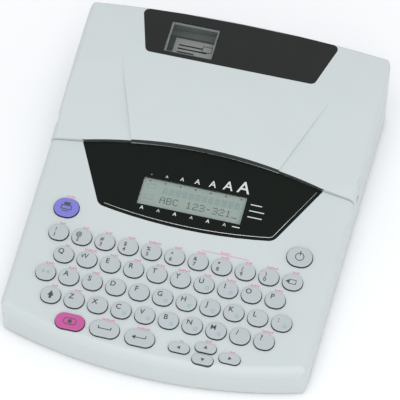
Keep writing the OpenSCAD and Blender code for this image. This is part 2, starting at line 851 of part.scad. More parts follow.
window_x0 = cassette_x + 27.8;
window_x1 = cassette_x + 60.8;
window_y0 = cassette_y + 28;
window_y1 = cassette_y + 53;
cover_panel_t = 1.2;
module cover_panel_outline(inset) {
  offset(r = 4 - inset, $fn = 32) offset(delta = -4)
    translate([0, hinge_y]) both_sides() polygon([[0, -32.7], [58, -32.7], [68.5, 1.3], [40, 2.9], [0, 3.5]]);
}

module under_top(depth, t) {
  intersection() {
    translate([0, top_c[0], top_c[1]]) rotate([0, 90, 0]) difference() {
      cylinder(r = top_r - depth, h = big, center = true, $fn = 360);
      cylinder(r = top_r - depth - t, h = big + 2, center = true, $fn = 360);
    }
    translate([0, 0, 50]) linear_extrude(20) children();
  }
}

module cover_window_outline(inset) {
  translate([window_x0 + inset, window_y0 + inset])
    square([window_x1 - window_x0 - 2 * inset, window_y1 - window_y0 - 2 * inset]);
}

module tape_cover() {
  color(silver) {
    difference() {
      cover_skin();
      cover_cavity();
      under_top(-1, cover_panel_t + 1) cover_panel_outline(0);
      translate([0, 0, 40]) linear_extrude(40) cover_window_outline(1.2);
      exit_room(part_gap, exit_sweep);
      finger_notches();
      front_clear();
    }
    for (x = [-1, 1]) hinge_knuckle(x * hinge_x);
  }
}

// Keeps the cover's front wall clear of the tub's top
module front_clear() {
  under_cover_front(cover_wall + tub_gap - part_gap) outline_block(cover_wall, 0, tub_top_z + part_gap);
}

module hinge_knuckle(x) {
  back_face = back_arc_y + sqrt(pow(back_arc_r, 2) - pow(hinge_x, 2)) - hinge_y;
  translate([x - knuckle_l / 2, hinge_y, hinge_z]) rotate([90, 0, 90]) difference() {
    union() {
      cylinder(r = knuckle_r, h = knuckle_l, $fn = 48);
      translate([back_face - cover_wall - 0.6, 0, 0])
        cube([cover_wall, cover_rim_z - hinge_z + 4, knuckle_l]);
    }
    translate([0, 0, -1]) cylinder(r = hinge_pin_r + run_gap, h = knuckle_l + 2, $fn = 32);
  }
}

module hinge_pins() {
  l = knuckle_l + 2 * ear_l + 0.8;
  color(steel) for (x = [-1, 1]) translate([x * hinge_x - l / 2, hinge_y, hinge_z])
    rotate([0, 90, 0]) cylinder(r = hinge_pin_r, h = l, $fn = 32);
}

module cover_panel() {
  color([0.14, 0.14, 0.13]) difference() {
    under_top(0, cover_panel_t - 0.05) cover_panel_outline(fit_gap);
    translate([0, 0, 40]) linear_extrude(40) cover_window_outline(0);
  }
}

module cover_window() {
  color([0.2, 0.26, 0.22, 0.6]) under_top(0.15, cover_panel_t - 0.2) cover_window_outline(fit_gap);
}

// ---------------------------------------------------------------- battery

module battery_cover() {
  z = floor_z;
  color(silver) {
    difference() {
      translate([-plate_size[0] / 2, bay_y - plate_size[1] / 2, z])
        cube([plate_size[0], plate_size[1], cover_plate_t]);
      for (i = [0:4]) translate([-12, bay_y + 10 + i * 2.4, z - 1]) cube([24, 1.2, 1.5]);
    }
  }
}

cell_ys = [for (i = [0:bay_rows - 1]) bay_y + (i - (bay_rows - 1) / 2) * cell_pitch];
cell_z = inside_z + cell_d / 2 + 0.3;
module battery_cells() {
  nub_l = 1.2;
  color([0.25, 0.26, 0.3]) for (y = cell_ys, s = [-1, 1])
    translate([s * (cell_l / 2 + 0.1) - cell_l / 2, y, cell_z]) rotate([0, 90, 0]) {
      cylinder(r = cell_d / 2, h = cell_l - nub_l, $fn = 48);
      cylinder(r = 2.6, h = cell_l, $fn = 32);
    }
}

module battery_contacts() {
  color(steel) for (y = cell_ys) {
    translate([-bay_w / 2 + fit_gap, y - 5, cell_z - 5]) cube([0.4, 10, 10]);
    translate([bay_w / 2 - fit_gap - 0.4, y - 5, cell_z - 5]) cube([0.4, 10, 10]);
    // Coil that presses the cells, as stacked rings
    for (i = [0:2]) translate([-bay_w / 2 + 0.5 + i * 0.9, y, cell_z]) rotate([0, 90, 0])
      rotate_extrude($fn = 32) translate([3.6 - i * 0.5, 0.45]) circle(r = 0.45, $fn = 16);
  }
}

// ---------------------------------------------------------------- boards

main_board_p = [28, -40, inside_z + 4];
main_board_size = [60, 120];
module main_board() {
  edge = 6;
  translate(main_board_p) {
    color([0.1, 0.4, 0.25]) difference() {
      cube([main_board_size[0], main_board_size[1], board_t]);
      for (x = [edge, main_board_size[0] - edge], y = [edge, main_board_size[1] - edge])
        translate([x, y, -1]) cylinder(r = 1.6, h = board_t + 2, $fn = 32);
    }
    // Larger parts on the board: processor, memory, capacitors and a connector
    color([0.12, 0.12, 0.12]) translate([0, 0, board_t - eps]) {
      translate([10, 50, 0]) cube([16, 16, 1.8]);
      translate([36, 20, 0]) cube([9, 14, 1.6]);
      for (x = [10, 22, 46]) translate([x, 92, 0]) cylinder(r = 4, h = 7, $fn = 32);
      translate([16, 6, 0]) cube([28, 5, 5]);
    }
  }
}

// ---------------------------------------------------------------- gears

// Spur gear with straight-sided teeth and a bore
module gear(n, t, bore) {
  pitch_r = gear_m * n / 2;
  root_r = pitch_r - 1.15 * gear_m;
  tip_r = pitch_r + 0.85 * gear_m;
  step = 360 / n;
  linear_extrude(t) difference() {
    polygon([for (i = [0:n - 1], c = [[-0.27, root_r], [-0.11, tip_r], [0.11, tip_r], [0.27, root_r]])
      c[1] * [cos((i + c[0]) * step), sin((i + c[0]) * step)]]);
    if (bore > 0) circle(r = bore, $fn = 32);
  }
}

module lay_gear(p, n, turn, bore) {
  translate([p[0], p[1], gear_z]) rotate([0, 0, turn]) gear(n, gear_t, bore);
}

module motor_pinion() {
  color([0.8, 0.65, 0.3]) lay_gear(motor, pinion_n, turn_pinion, motor_shaft_r + 0.02);
}

module idler(p, n, turn) {
  color(cream) {
    difference() {
      lay_gear(p, n, turn, shaft_r + run_gap);
      // Lightening pockets round the web
      for (i = [0:4]) translate([p[0], p[1], gear_z + 1.4]) rotate([0, 0, i * 72])
        translate([gear_m * n / 4, 0, 0]) cylinder(r = gear_m * n / 10, h = gear_t, $fn = 32);
    }
  }
}
module idler_gear_1() { idler(idler_1, idler_1_n, turn_idler_1); }
module idler_gear_2() { idler(idler_2, idler_2_n, turn_idler_2); }

// Gear with a spindle that stands up into the cassette
module spindle_gear(p, n, turn, spindle_r) {
  color(cream) {
    lay_gear(p, n, turn, 0);
    translate([p[0], p[1], gear_z]) cylinder(r = shaft_r + 0.6, h = cassette_z - gear_z + 1, $fn = 32);
    translate([p[0], p[1], cassette_z + 1 - eps]) cylinder(r = spindle_r, h = cassette_h - 5, $fn = 6);
  }
}
module ribbon_gear() { spindle_gear(takeup, ribbon_n, turn_ribbon, 2); }
module feed_gear() { spindle_gear(drive, feed_n, turn_feed, 1.5); }

module drive_motor() {
  z = chassis_z + chassis_t;
  color(steel) translate([motor[0], motor[1], z]) {
    cylinder(r = motor_r, h = motor_h, $fn = 64);
    translate([0, 0, gear_z - z + 0.2]) cylinder(r = motor_shaft_r, h = z - gear_z, $fn = 32);
    cylinder(r = 3, h = motor_h + 0.8, $fn = 32);
  }
}

// ---------------------------------------------------------------- chassis

module chassis() {
  z = chassis_z;
  top = tub_top_z - tub_t - 0.4;
  color([0.3, 0.32, 0.33]) {
    difference() {
      union() {
        translate([chassis_x[0], chassis_y[0], z])
          cube([chassis_x[1] - chassis_x[0], chassis_y[1] - chassis_y[0], chassis_t]);
        // Walls round the cassette
        translate([cassette_x + cassette_w + bay_margin, bay_wall_y, z])
          cube([1.5, rail_y - 1 - bay_wall_y, top - z]);
        for (p = [idler_1, idler_2]) translate([p[0], p[1], gear_z - 1])
          cylinder(r = shaft_r, h = z - gear_z + 2, $fn = 32);
        // Pads that carry the cassette
        for (x = [cassette_x + 3, cassette_x + cassette_w - 7])
          for (y = [cassette_y + 14, cassette_y + cassette_d - 6])
            translate([x, y, z]) cube([4, 4, cassette_z - z - 0.1]);
        for (p = chassis_feet) translate([p[0], p[1], inside_z + 0.1])
          cylinder(r = 3, h = z - inside_z, $fn = 32);
      }
      for (p = [takeup, drive]) translate([p[0], p[1], z - 1])
        cylinder(r = shaft_r + 0.6 + run_gap, h = 10, $fn = 32);
      translate([motor[0], motor[1], z - 1]) cylinder(r = 4.2, h = 10, $fn = 32);
      translate([cutter_gear_p[0], cutter_gear_p[1], z - 1])
        cylinder(r = shaft_r + run_gap, h = 10, $fn = 32);
      for (p = screw_spots) translate([p[0], p[1], z - 1]) cylinder(r = screw_post_r + 0.5, h = 10, $fn = 48);
    }
    // Pivot post of the platen holder
    translate([holder_pivot[0], holder_pivot[1], z]) cylinder(r = shaft_r, h = 20, $fn = 32);
  }
}
// Feet under the chassis, less any that would stand in a gear
chassis_feet = [
  for (q = [[-16, -16], [44, -16], [cassette_w + 26, -14], [cassette_w + 26, 44], [-8, 47.5]])
    let (p = [cassette_x, cassette_y] + q)
    if (norm(p - idler_1) > gear_m * (idler_1_n / 2 + 1) + 4
      && norm(p - idler_2) > gear_m * (idler_2_n / 2 + 1) + 4) p
];

// ---------------------------------------------------------------- printing

holder_pivot = [cassette_x + 34, cassette_y - 10];
module platen_holder() {
  z0 = chassis_z + chassis_t + 0.3;
  z1 = cassette_z + cassette_h - 1;
  arm_t = 1.2;
  arm_x = drive[0] - 4;
  color(cream) difference() {
    union() {
      translate([holder_pivot[0], holder_pivot[1], z0]) cylinder(r = 3.4, h = z1 - z0, $fn = 48);
      for (z = [z0, z1 - arm_t]) {
        translate([arm_x, holder_pivot[1], z]) cube([holder_pivot[0] - arm_x, 8.2, arm_t]);
        for (x = [head_x, drive[0]]) translate([x - 2, roller_y - 3, z]) cube([4, 5, arm_t]);
      }
      translate([arm_x, holder_pivot[1], z0]) cube([holder_pivot[0] - arm_x, 1.8, z1 - z0]);
    }
    translate([holder_pivot[0], holder_pivot[1], z0 - 1]) cylinder(r = shaft_r + run_gap, h = 40, $fn = 32);
    for (x = [head_x, drive[0]]) translate([x, roller_y, z0 - 1]) cylinder(r = 1 + run_gap, h = 40, $fn = 32);
  }
}

module nip_roller(x, r) {
  z0 = chassis_z + chassis_t + 0.4;
  z1 = cassette_z + cassette_h - 0.8;
  translate([x, roller_y, 0]) {
    color(steel) translate([0, 0, z0]) cylinder(r = 1, h = z1 - z0, $fn = 32);
    color([0.2, 0.2, 0.2]) translate([0, 0, tape_z - 0.5]) cylinder(r = r, h = tape_w + 1, $fn = 48);
  }
}
module platen_roller() { nip_roller(head_x, roller_r); }
module pinch_roller() { nip_roller(drive[0], roller_r); }

module heat_sink() {
  color(steel) {
    translate([head_x - 5, tape_y + 2.4, chassis_z + chassis_t])
      cube([10, 1.2, tape_z + tape_w - chassis_z - chassis_t]);
    translate([head_x - 5, tape_y + 2.4, chassis_z + chassis_t]) cube([10, 1.9, 1]);
  }
}

module print_head() {
  color([0.9, 0.9, 0.86]) translate([head_x - 4.5, tape_y + tape_t + 0.2, tape_z - 1])
    cube([9, 1.7, tape_w + 1.6]);
}

// ---------------------------------------------------------------- cutter

module cutter_frame() {
  z = chassis_z + chassis_t;
  color(steel) {
    difference() {
      translate([cutter_x - 11, cutter_gear_p[1] - 5, z]) cube([16, 30, 1.2]);
      translate([cutter_gear_p[0], cutter_gear_p[1], z - 1])
        cylinder(r = shaft_r + run_gap, h = 10, $fn = 32);
    }
    translate([cutter_x + 1.6, tape_y + 0.8, z]) cube([1.2, 8, 18]);
    translate([cutter_x - 11, cutter_gear_p[1] + 9, z]) cube([1.2, 5.4, 10]);
  }
}

module fixed_blade() {
  color([0.85, 0.86, 0.88]) translate([cutter_x + blade_t + 0.15, tape_y + 0.6, cassette_z + 1])
    cube([0.5, 6, cassette_h - 3]);
}

module cutter_blade() {
  z = chassis_z + chassis_t + 1.5;
  mid_y = cutter_gear_p[1] + crank_r * sin(crank_angle);
  slot = 2 * (crank_pin_r + 0.25);
  color([0.8, 0.81, 0.84]) {
    translate([cutter_x, mid_y + 2, z + 4]) cube([blade_t, tape_y - 1 - mid_y - 2, cassette_h - 4]);
    difference() {
      translate([cutter_x - 6, mid_y - 3.2, z + 4]) cube([6 + blade_t, 6.4, 2]);
      translate([cutter_x - 3.5, mid_y - slot / 2, z]) cube([7, slot, 8]);
    }
  }
}

module cutter_gear() {
  z = chassis_z + chassis_t + 1.5;
  color(cream) translate([cutter_gear_p[0], cutter_gear_p[1], z]) {
    linear_extrude(2.6) circle(r = 8, $fn = 64);
    translate([0, 0, chassis_z - 1 - z]) cylinder(r = shaft_r, h = z - chassis_z + 1 + eps, $fn = 32);
    translate([crank_r * cos(crank_angle), crank_r * sin(crank_angle), 2.6 - eps])
      cylinder(r = crank_pin_r, h = 4.6, $fn = 32);
  }
}

// ---------------------------------------------------------------- cassette

module cassette_shape(inset) {
  r = 3;
  translate([cassette_x + cassette_w / 2, cassette_y + cassette_d / 2])
    round_rect([cassette_w - 2 * inset, cassette_d - 2 * inset], r - inset);
}

// Half of the cassette's shell, open towards the other half
module cassette_half(z0, h, floor_low) {
  difference() {
    translate([0, 0, z0]) linear_extrude(h) cassette_shape(0);
    translate([0, 0, floor_low ? z0 + cassette_wall : z0 - 1])
      linear_extrude(h - cassette_wall + 1) cassette_shape(cassette_wall);
    // Opening for the head and the rollers
    translate([drive[0] - 3.5, cassette_y - 1, z0 - 1]) cube([head_x + 6 - drive[0] + 3.5, 3.2, h + 2]);
    translate([head_x - 6, cassette_y - 1, z0 - 1]) cube([12, 8, h + 2]);
    // Label exit at the left end
    translate([cassette_x - 1, tape_y - 0.8, tape_z - 0.5]) cube([4, 2, tape_w + 1]);
    for (p = [takeup, drive]) translate([p[0], p[1], z0 - 1])
      cylinder(r = 2.8, h = floor_low ? h : 0.5, $fn = 32);
  }
}

half_h = cassette_h / 2;
module cassette_lower() {
  color([0.75, 0.76, 0.78]) {
    cassette_half(cassette_z, half_h - 0.02, true);
    // Hubs on which the two supply reels turn
    for (hub = [[tape_spool, tape_bore], [supply, supply_bore]])
      translate([hub[0][0], hub[0][1], cassette_z + cassette_wall - eps])
        post(hub[1] - seat_gap, tape_z + tape_w - cassette_z - cassette_wall, hub[1] - seat_gap - 1.2);
  }
}
module cassette_upper() {
  color([0.85, 0.86, 0.86]) cassette_half(cassette_z + half_h, half_h, false);
}
module cassette_label() {
  // Square to the cassette, under the cover's window and 2 mm short of the cassette's back edge
  size = [cassette_w / 2 - 3, cassette_d - 16, 0.25];
  corner = [cassette_x + cassette_w - 6, cassette_y + cassette_d - 2] - [size[0], size[1]];
  color([0.93, 0.93, 0.9]) translate([corner[0], corner[1], cassette_z + cassette_h]) cube(size);
}

// Flanged reel with its wound tape, and a hub bore
module reel(p, r, bore) {
  translate([p[0], p[1], tape_z]) difference() {
    cylinder(r = r, h = tape_w, $fn = 64);
    translate([0, 0, -1]) cylinder(r = bore, h = tape_w + 2, $fn = 32);
  }
}
module label_tape_spool() { color([0.95, 0.95, 0.93]) reel(tape_spool, tape_spool_r, tape_bore); }
module ribbon_supply_spool() { color([0.12, 0.12, 0.14]) reel(supply, supply_r, supply_bore); }
module ribbon_takeup_spool() { color([0.12, 0.12, 0.14]) reel(takeup, takeup_r, 2.3); }
module tape_drive_roller() {
  color([0.25, 0.25, 0.25]) reel(drive, drive_roller_r, 1.55);
}

module label_tape() {
  start = tape_spool[0] - 12;
  end = cutter_x + 2.2;
  color("white") translate([end, tape_y, tape_z]) cube([start - end, tape_t, tape_w]);
}

bottom_case();
top_case();
display_panel();
display_window();
lcd_module();
rubber_feet();
case_screws();
exit_bezel();
dc_jack();
tape_cover();
cover_panel();
cover_window();
hinge_pins();
battery_cover();
battery_cells();
battery_contacts();
key_board();
keypad_mat();
main_board();
print_key();
power_key();
delete_key();
alt_key();
shift_key();
code_key();
space_key();
return_key();
left_key();
up_key();
down_key();
right_key();
digit_keys();
top_letter_keys();
home_letter_keys();
low_letter_keys();
chassis();
print_head();
heat_sink();
platen_holder();
platen_roller();
pinch_roller();
drive_motor();
motor_pinion();
idler_gear_1();
idler_gear_2();
ribbon_gear();
feed_gear();
cutter_frame();
fixed_blade();
cutter_blade();
cutter_gear();
cassette_lower();
cassette_upper();
cassette_label();
label_tape_spool();
ribbon_supply_spool();
ribbon_takeup_spool();
tape_drive_roller();
label_tape();
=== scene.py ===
"""Desktop label maker: the looks of its shells, keys, display and cassette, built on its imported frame.

Lengths are metres and angles are degrees. The frame's +X is to the right of the keyboard, +Y to its back and
+Z up.
"""

from __future__ import annotations

import json
import logging
import math
from dataclasses import dataclass
from enum import Enum
from typing import Any, Callable, Sequence

import bmesh
import bpy
from mathutils import Matrix, Vector

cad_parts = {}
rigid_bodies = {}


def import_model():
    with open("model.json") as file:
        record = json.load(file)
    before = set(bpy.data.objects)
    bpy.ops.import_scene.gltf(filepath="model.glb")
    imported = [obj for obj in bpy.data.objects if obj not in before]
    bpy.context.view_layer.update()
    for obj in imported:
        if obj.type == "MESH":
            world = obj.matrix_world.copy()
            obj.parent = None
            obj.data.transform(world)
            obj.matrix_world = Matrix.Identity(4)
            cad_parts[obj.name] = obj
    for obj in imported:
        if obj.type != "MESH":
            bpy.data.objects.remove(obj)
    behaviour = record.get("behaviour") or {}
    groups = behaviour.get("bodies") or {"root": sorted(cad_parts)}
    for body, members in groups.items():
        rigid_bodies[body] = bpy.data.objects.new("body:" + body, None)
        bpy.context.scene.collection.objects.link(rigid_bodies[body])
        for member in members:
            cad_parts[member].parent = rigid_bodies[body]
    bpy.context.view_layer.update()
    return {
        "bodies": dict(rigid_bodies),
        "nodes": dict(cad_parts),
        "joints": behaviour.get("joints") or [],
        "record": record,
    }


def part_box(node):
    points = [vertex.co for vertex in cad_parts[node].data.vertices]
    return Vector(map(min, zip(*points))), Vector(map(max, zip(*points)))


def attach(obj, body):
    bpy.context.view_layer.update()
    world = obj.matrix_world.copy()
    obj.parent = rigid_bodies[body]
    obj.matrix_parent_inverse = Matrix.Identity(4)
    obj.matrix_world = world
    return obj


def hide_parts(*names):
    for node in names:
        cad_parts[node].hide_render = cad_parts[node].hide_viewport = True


LOG = logging.getLogger("label_maker")
MM = 0.001
INK_T = 0.03 * MM  # thickness of a film of ink
Colour = tuple[float, float, float]


# ---------------------------------------------------------------- shader graphs


class Wire:
    """A shader value whose Python operators add Math nodes."""

    def __init__(self, graph: Graph, socket: bpy.types.NodeSocket) -> None:
        """Wraps an output socket of a graph."""
        self.graph = graph
        self.socket = socket

    def _with(self, operation: str, first: Any, second: Any) -> Wire:
        """Returns the result of one Math node."""
        return self.graph.add("ShaderNodeMath", {"operation": operation}, {0: first, 1: second})

    def __add__(self, other: Any) -> Wire:
        """Adds a value."""
        return self._with("ADD", self, other)

    __radd__ = __add__

    def __sub__(self, other: Any) -> Wire:
        """Takes a value away."""
        return self._with("SUBTRACT", self, other)

    def __rsub__(self, other: Any) -> Wire:
        """Takes this from a value."""
        return self._with("SUBTRACT", other, self)

    def __mul__(self, other: Any) -> Wire:
        """Multiplies by a value."""
        return self._with("MULTIPLY", self, other)

    __rmul__ = __mul__


class Graph:
    """The node tree of one material."""

    def __init__(self, name: str) -> None:
        """Starts a material of that name with its shader and Object coordinates."""
        self.material = bpy.data.materials.new(name)
        self.material.use_nodes = True
        self.tree = self.material.node_tree
        self.shader = self.tree.nodes["Principled BSDF"]
        self.place = self.add("ShaderNodeTexCoord", {}, {}, "Object")

    def add(self, kind: str, settings: dict[str, Any], values: dict[Any, Any], out: Any = 0) -> Wire:
        """Adds a node.

        Args:
            kind: The node's type.
            settings: Its properties, by name.
            values: A number, colour or Wire for each input, by name or index.
            out: The output to return, by name or index.

        Returns:
            The chosen output.
        """
        node = self.tree.nodes.new(kind)
        for key, value in settings.items():
            setattr(node, key, value)
        for key, value in values.items():
            self.feed(node.inputs[key], value)
        return Wire(self, node.outputs[out])

    def feed(self, socket: bpy.types.NodeSocket, value: Any) -> None:
        """Links a Wire to a socket, or sets the socket's own value."""
        if isinstance(value, Wire):
            self.tree.links.new(value.socket, socket)
        elif isinstance(value, tuple) and len(value) == 3 and socket.type == "RGBA":
            socket.default_value = (*value, 1.0)
        else:
            socket.default_value = value

    def dress(self, **values: Any) -> bpy.types.Material:
        """Feeds the shader's sockets, whose names are written with underscores, and returns the material."""
        for key, value in values.items():
            self.feed(self.shader.inputs[key.replace("_", " ")], value)
        return self.material

    def noise(self, scale: float, detail: float = 3.0, stretch: Colour = (1.0, 1.0, 1.0)) -> Wire:
        """Returns cloudy noise from 0 to 1, stretched along the axes."""
        where = self.add("ShaderNodeMapping", {}, {"Vector": self.place, "Scale": stretch})
        return self.add("ShaderNodeTexNoise", {}, {"Vector": where, "Scale": scale, "Detail": detail})

    def shades(self, mask: Wire, dark: Colour, light: Colour) -> Wire:
        """Returns a colour between two, by a mask."""
        ends = {"Factor": mask, "A": (*dark, 1.0), "B": (*light, 1.0)}
        return self.add("ShaderNodeMix", {"data_type": "RGBA"}, ends, "Result")

    def bump(self, height: Wire, depth: float) -> Wire:
        """Returns a normal that follows a height, whose full range is depth."""
        values = {"Height": height, "Distance": depth, "Strength": 1.0}
        return self.add("ShaderNodeBump", {}, values, "Normal")


def tone(colour: Colour, factor: float) -> Colour:
    """Returns a colour that is lighter or darker by a factor."""
    return tuple(min(1.0, c * factor) for c in colour)


class Finish:
    """A surface finish that makes its material once."""

    name: str

    def material(self) -> bpy.types.Material:
        """Returns the finish's material, made on its first use."""
        return bpy.data.materials.get(f"{self.name}_finish") or self.make(Graph(f"{self.name}_finish"))

    def make(self, graph: Graph) -> bpy.types.Material:
        """Builds the material in a new graph."""
        raise NotImplementedError


@dataclass(frozen=True)
class Moulded(Finish):
    """Spark-eroded moulded plastic with a fine grain and a faint mottle."""

    name: str
    colour: Colour
    roughness: float = 0.42
    grain: float = 1500.0
    depth: float = 0.012 * MM
    mottle: float = 0.035
    coat: float = 0.0

    def make(self, graph: Graph) -> bpy.types.Material:
        """Builds grain, mottle and a slight change of gloss."""
        cloud = graph.noise(35.0)
        grain = graph.noise(self.grain, 2.0)
        colour = graph.shades(cloud * 0.7 + grain * 0.3, tone(self.colour, 1 - self.mottle),
                              tone(self.colour, 1 + self.mottle))
        return graph.dress(
            Base_Color=colour,
            Roughness=self.roughness - 0.05 + cloud * 0.1,
            Normal=graph.bump(grain, self.depth),
            Coat_Weight=self.coat,
            Coat_Roughness=0.25,
        )


@dataclass(frozen=True)
class Gloss(Finish):
    """Polished sheet or moulding with faint smudges that dull it."""

    name: str
    colour: Colour
    roughness: float = 0.12
    smudge: float = 0.1
    shine: float = 0.25

    def make(self, graph: Graph) -> bpy.types.Material:
        """Builds a deep colour under a smudged gloss."""
        smudge = graph.noise(60.0, 5.0)
        wave = graph.noise(18.0, 1.0)
        return graph.dress(
            Base_Color=graph.shades(smudge, tone(self.colour, 0.85), tone(self.colour, 1.2)),
            Roughness=self.roughness + smudge * self.smudge,
            Normal=graph.bump(wave, 0.02 * MM),
            Specular_IOR_Level=self.shine,
        )


@dataclass(frozen=True)
class Clear(Finish):
    """Clear or smoked acrylic."""

    name: str
    colour: Colour
    alpha: float
    roughness: float = 0.06

    def make(self, graph: Graph) -> bpy.types.Material:
        """Builds a see-through sheet with a smudged gloss."""
        smudge = graph.noise(80.0, 4.0)
        return graph.dress(
            Base_Color=graph.shades(smudge, tone(self.colour, 0.9), tone(self.colour, 1.1)),
            Roughness=self.roughness + smudge * 0.06,
            Alpha=self.alpha + smudge * 0.04,
        )


@dataclass(frozen=True)
class Metal(Finish):
    """Bare or plated metal with drawn lines along one axis."""

    name: str
    colour: Colour
    roughness: float = 0.28
    lines: Colour = (1.0, 1.0, 40.0)

    def make(self, graph: Graph) -> bpy.types.Material:
        """Builds drawn lines in colour, gloss and height."""
        lines = graph.noise(90.0, 4.0, self.lines)
        return graph.dress(
            Base_Color=graph.shades(lines, tone(self.colour, 0.8), tone(self.colour, 1.1)),
            Metallic=1.0,
            Roughness=self.roughness - 0.08 + lines * 0.2,
            Normal=graph.bump(lines, 0.01 * MM),
        )


@dataclass(frozen=True)
class Rubber(Finish):
    """Matt rubber or silicone."""

    name: str
    colour: Colour

    def make(self, graph: Graph) -> bpy.types.Material:
        """Builds a dusty, finely pitted surface."""
        dust = graph.noise(120.0, 4.0)
        return graph.dress(
            Base_Color=graph.shades(dust, tone(self.colour, 0.85), tone(self.colour, 1.25)),
            Roughness=0.7 + dust * 0.2,
            Normal=graph.bump(graph.noise(2200.0, 2.0), 0.02 * MM),
        )


@dataclass(frozen=True)
class Board(Finish):
    """Circuit board with tracks under its solder mask."""

    name: str
    mask: Colour = (0.02, 0.16, 0.07)
    track: Colour = (0.05, 0.27, 0.12)

    def make(self, graph: Graph) -> bpy.types.Material:
        """Builds right-angled tracks and vias."""
        cells = graph.add("ShaderNodeTexBrick", {"offset": 0.5}, {
            "Vector": graph.place, "Scale": 60.0, "Mortar Size": 0.035, "Row Height": 0.2,
            "Color1": self.mask, "Color2": tone(self.mask, 0.9), "Mortar": self.track,
        })
        height = graph.noise(700.0, 2.0)
        return graph.dress(
            Base_Color=cells,
            Roughness=0.25 + height * 0.15,
            Normal=graph.bump(height, 0.01 * MM),
        )


@dataclass(frozen=True)
class Wound(Finish):
    """The side of a wound reel, whose layers show as rings about an upright axis."""

    name: str
    colour: Colour
    centre: tuple[float, float]
    layer: float = 0.45 * MM

    def make(self, graph: Graph) -> bpy.types.Material:
        """Builds rings about the reel's axis."""
        axis = (-self.centre[0], -self.centre[1], 0.0)
        middle = graph.add("ShaderNodeMapping", {}, {"Vector": graph.place, "Location": axis})
        rings = graph.add("ShaderNodeTexWave", {"wave_type": "RINGS", "rings_direction": "Z"},
                          {"Vector": middle, "Scale": 0.314 / self.layer / 10, "Distortion": 0.4}, "Fac")
        return graph.dress(
            Base_Color=graph.shades(rings, tone(self.colour, 0.75), self.colour),
            Roughness=0.35 + rings * 0.15,
            Normal=graph.bump(rings, 0.03 * MM),
        )


@dataclass(frozen=True)
class Crystal(Finish):
    """Reflective ground of a liquid crystal display, with its faint grid of cells."""

    name: str
    colour: Colour = (0.27, 0.335, 0.30)

    def make(self, graph: Graph) -> bpy.types.Material:
        """Builds a pearly ground with a fine cell grid."""
        pearl = graph.noise(900.0, 3.0)
        drift = graph.noise(25.0, 1.0)
        mask = pearl * 0.4 + drift * 0.6
        return graph.dress(
            Base_Color=graph.shades(mask, tone(self.colour, 0.86), tone(self.colour, 1.16)),
            Roughness=0.34 + pearl * 0.1,
            Normal=graph.bump(pearl, 0.01 * MM),
        )


@dataclass(frozen=True)
class Ink(Finish):
    """Pad-printed ink, a little uneven."""

    name: str
    colour: Colour
    roughness: float = 0.5

    def make(self, graph: Graph) -> bpy.types.Material:
        """Builds an ink whose cover varies slightly."""
        cover = graph.noise(1400.0, 3.0)
        return graph.dress(
            Base_Color=graph.shades(cover, tone(self.colour, 0.88), tone(self.colour, 1.12)),
            Roughness=self.roughness + cover * 0.12,
        )


SHELL = Moulded("shell_silver", (0.56, 0.605, 0.60), roughness=0.40, coat=0.12)
KEY_TOP = Moulded("key_top_grey", (0.45, 0.485, 0.495), roughness=0.45, mottle=0.05)
# The skirt finishes are darker copies of the key tops: painted shade on the caps' sides, and partly the
# skirts' own darker moulding.
KEY_SKIRT_SHADE = Moulded("key_skirt_painted_shade", (0.055, 0.06, 0.06), roughness=0.5)
PRINT_TOP = Moulded("print_key_violet", (0.19, 0.185, 0.58), roughness=0.38)
PRINT_SKIRT_SHADE = Moulded("print_key_violet_skirt_painted_shade", (0.035, 0.03, 0.16), roughness=0.45)
CODE_TOP = Moulded("code_key_magenta", (0.50, 0.085, 0.29), roughness=0.4)
CODE_SKIRT_SHADE = Moulded("code_key_magenta_skirt_painted_shade", (0.09, 0.012, 0.05), roughness=0.45)
PANEL = Gloss("panel_black", (0.006, 0.0085, 0.0065), roughness=0.22, shine=0.1)
INLAY = Gloss("inlay_black", (0.016, 0.0175, 0.0155), roughness=0.26, shine=0.22)
# A dark grey sheet laid on the cover's front step: painted shade on its wall.
STEP_SHADE = Moulded("step_painted_shade", (0.07, 0.077, 0.072), roughness=0.4)
PINSTRIPE = Metal("pinstripe_silver", (0.75, 0.77, 0.76), roughness=0.3)
LCD_COVER = Clear("display_window_clear", (0.55, 0.6, 0.57), 0.05)
SMOKED = Clear("cover_window_smoked", (0.02, 0.03, 0.024), 0.22)
LCD_GROUND = Crystal("display_ground")
STEEL = Metal("steel_plated", (0.62, 0.63, 0.65))
BRIGHT_STEEL = Metal("blade_steel", (0.72, 0.73, 0.75), roughness=0.18, lines=(30.0, 1.0, 1.0))
ALUMINIUM = Metal("aluminium_bare", (0.7, 0.71, 0.72), roughness=0.4)
BRASS = Metal("brass_turned", (0.72, 0.53, 0.2), roughness=0.25)
BLACK = Moulded("black_moulded", (0.022, 0.023, 0.023), roughness=0.45)
CHASSIS = Moulded("chassis_grey", (0.075, 0.08, 0.085), roughness=0.5)
ACETAL = Moulded("acetal_cream", (0.74, 0.71, 0.6), roughness=0.35)
CASSETTE = Moulded("cassette_grey", (0.16, 0.175, 0.16), roughness=0.38)
CERAMIC = Gloss("head_ceramic", (0.75, 0.74, 0.68), roughness=0.2)
SLEEVE = Gloss("cell_sleeve", (0.05, 0.06, 0.09), roughness=0.2)
SILICONE = Rubber("silicone_grey", (0.27, 0.29, 0.29))
FOOT_RUBBER = Rubber("foot_rubber", (0.02, 0.02, 0.02))
ROLLER_RUBBER = Rubber("roller_rubber", (0.035, 0.035, 0.037))
BOARD = Board("board_green")
PAPER = Moulded("sticker_paper", (0.93, 0.93, 0.92), roughness=0.55, grain=2600.0, mottle=0.02)
TAPE = Gloss("tape_laminated", (0.8, 0.8, 0.77), roughness=0.18)
FLOOR = Moulded("floor_paper", (0.94, 0.94, 0.94), roughness=0.8, mottle=0.004)
INK_DARK = Ink("ink_dark", (0.035, 0.04, 0.04))
INK_PINK = Ink("ink_pink", (0.66, 0.2, 0.4))
INK_TEAL = Ink("ink_teal", (0.26, 0.43, 0.44))
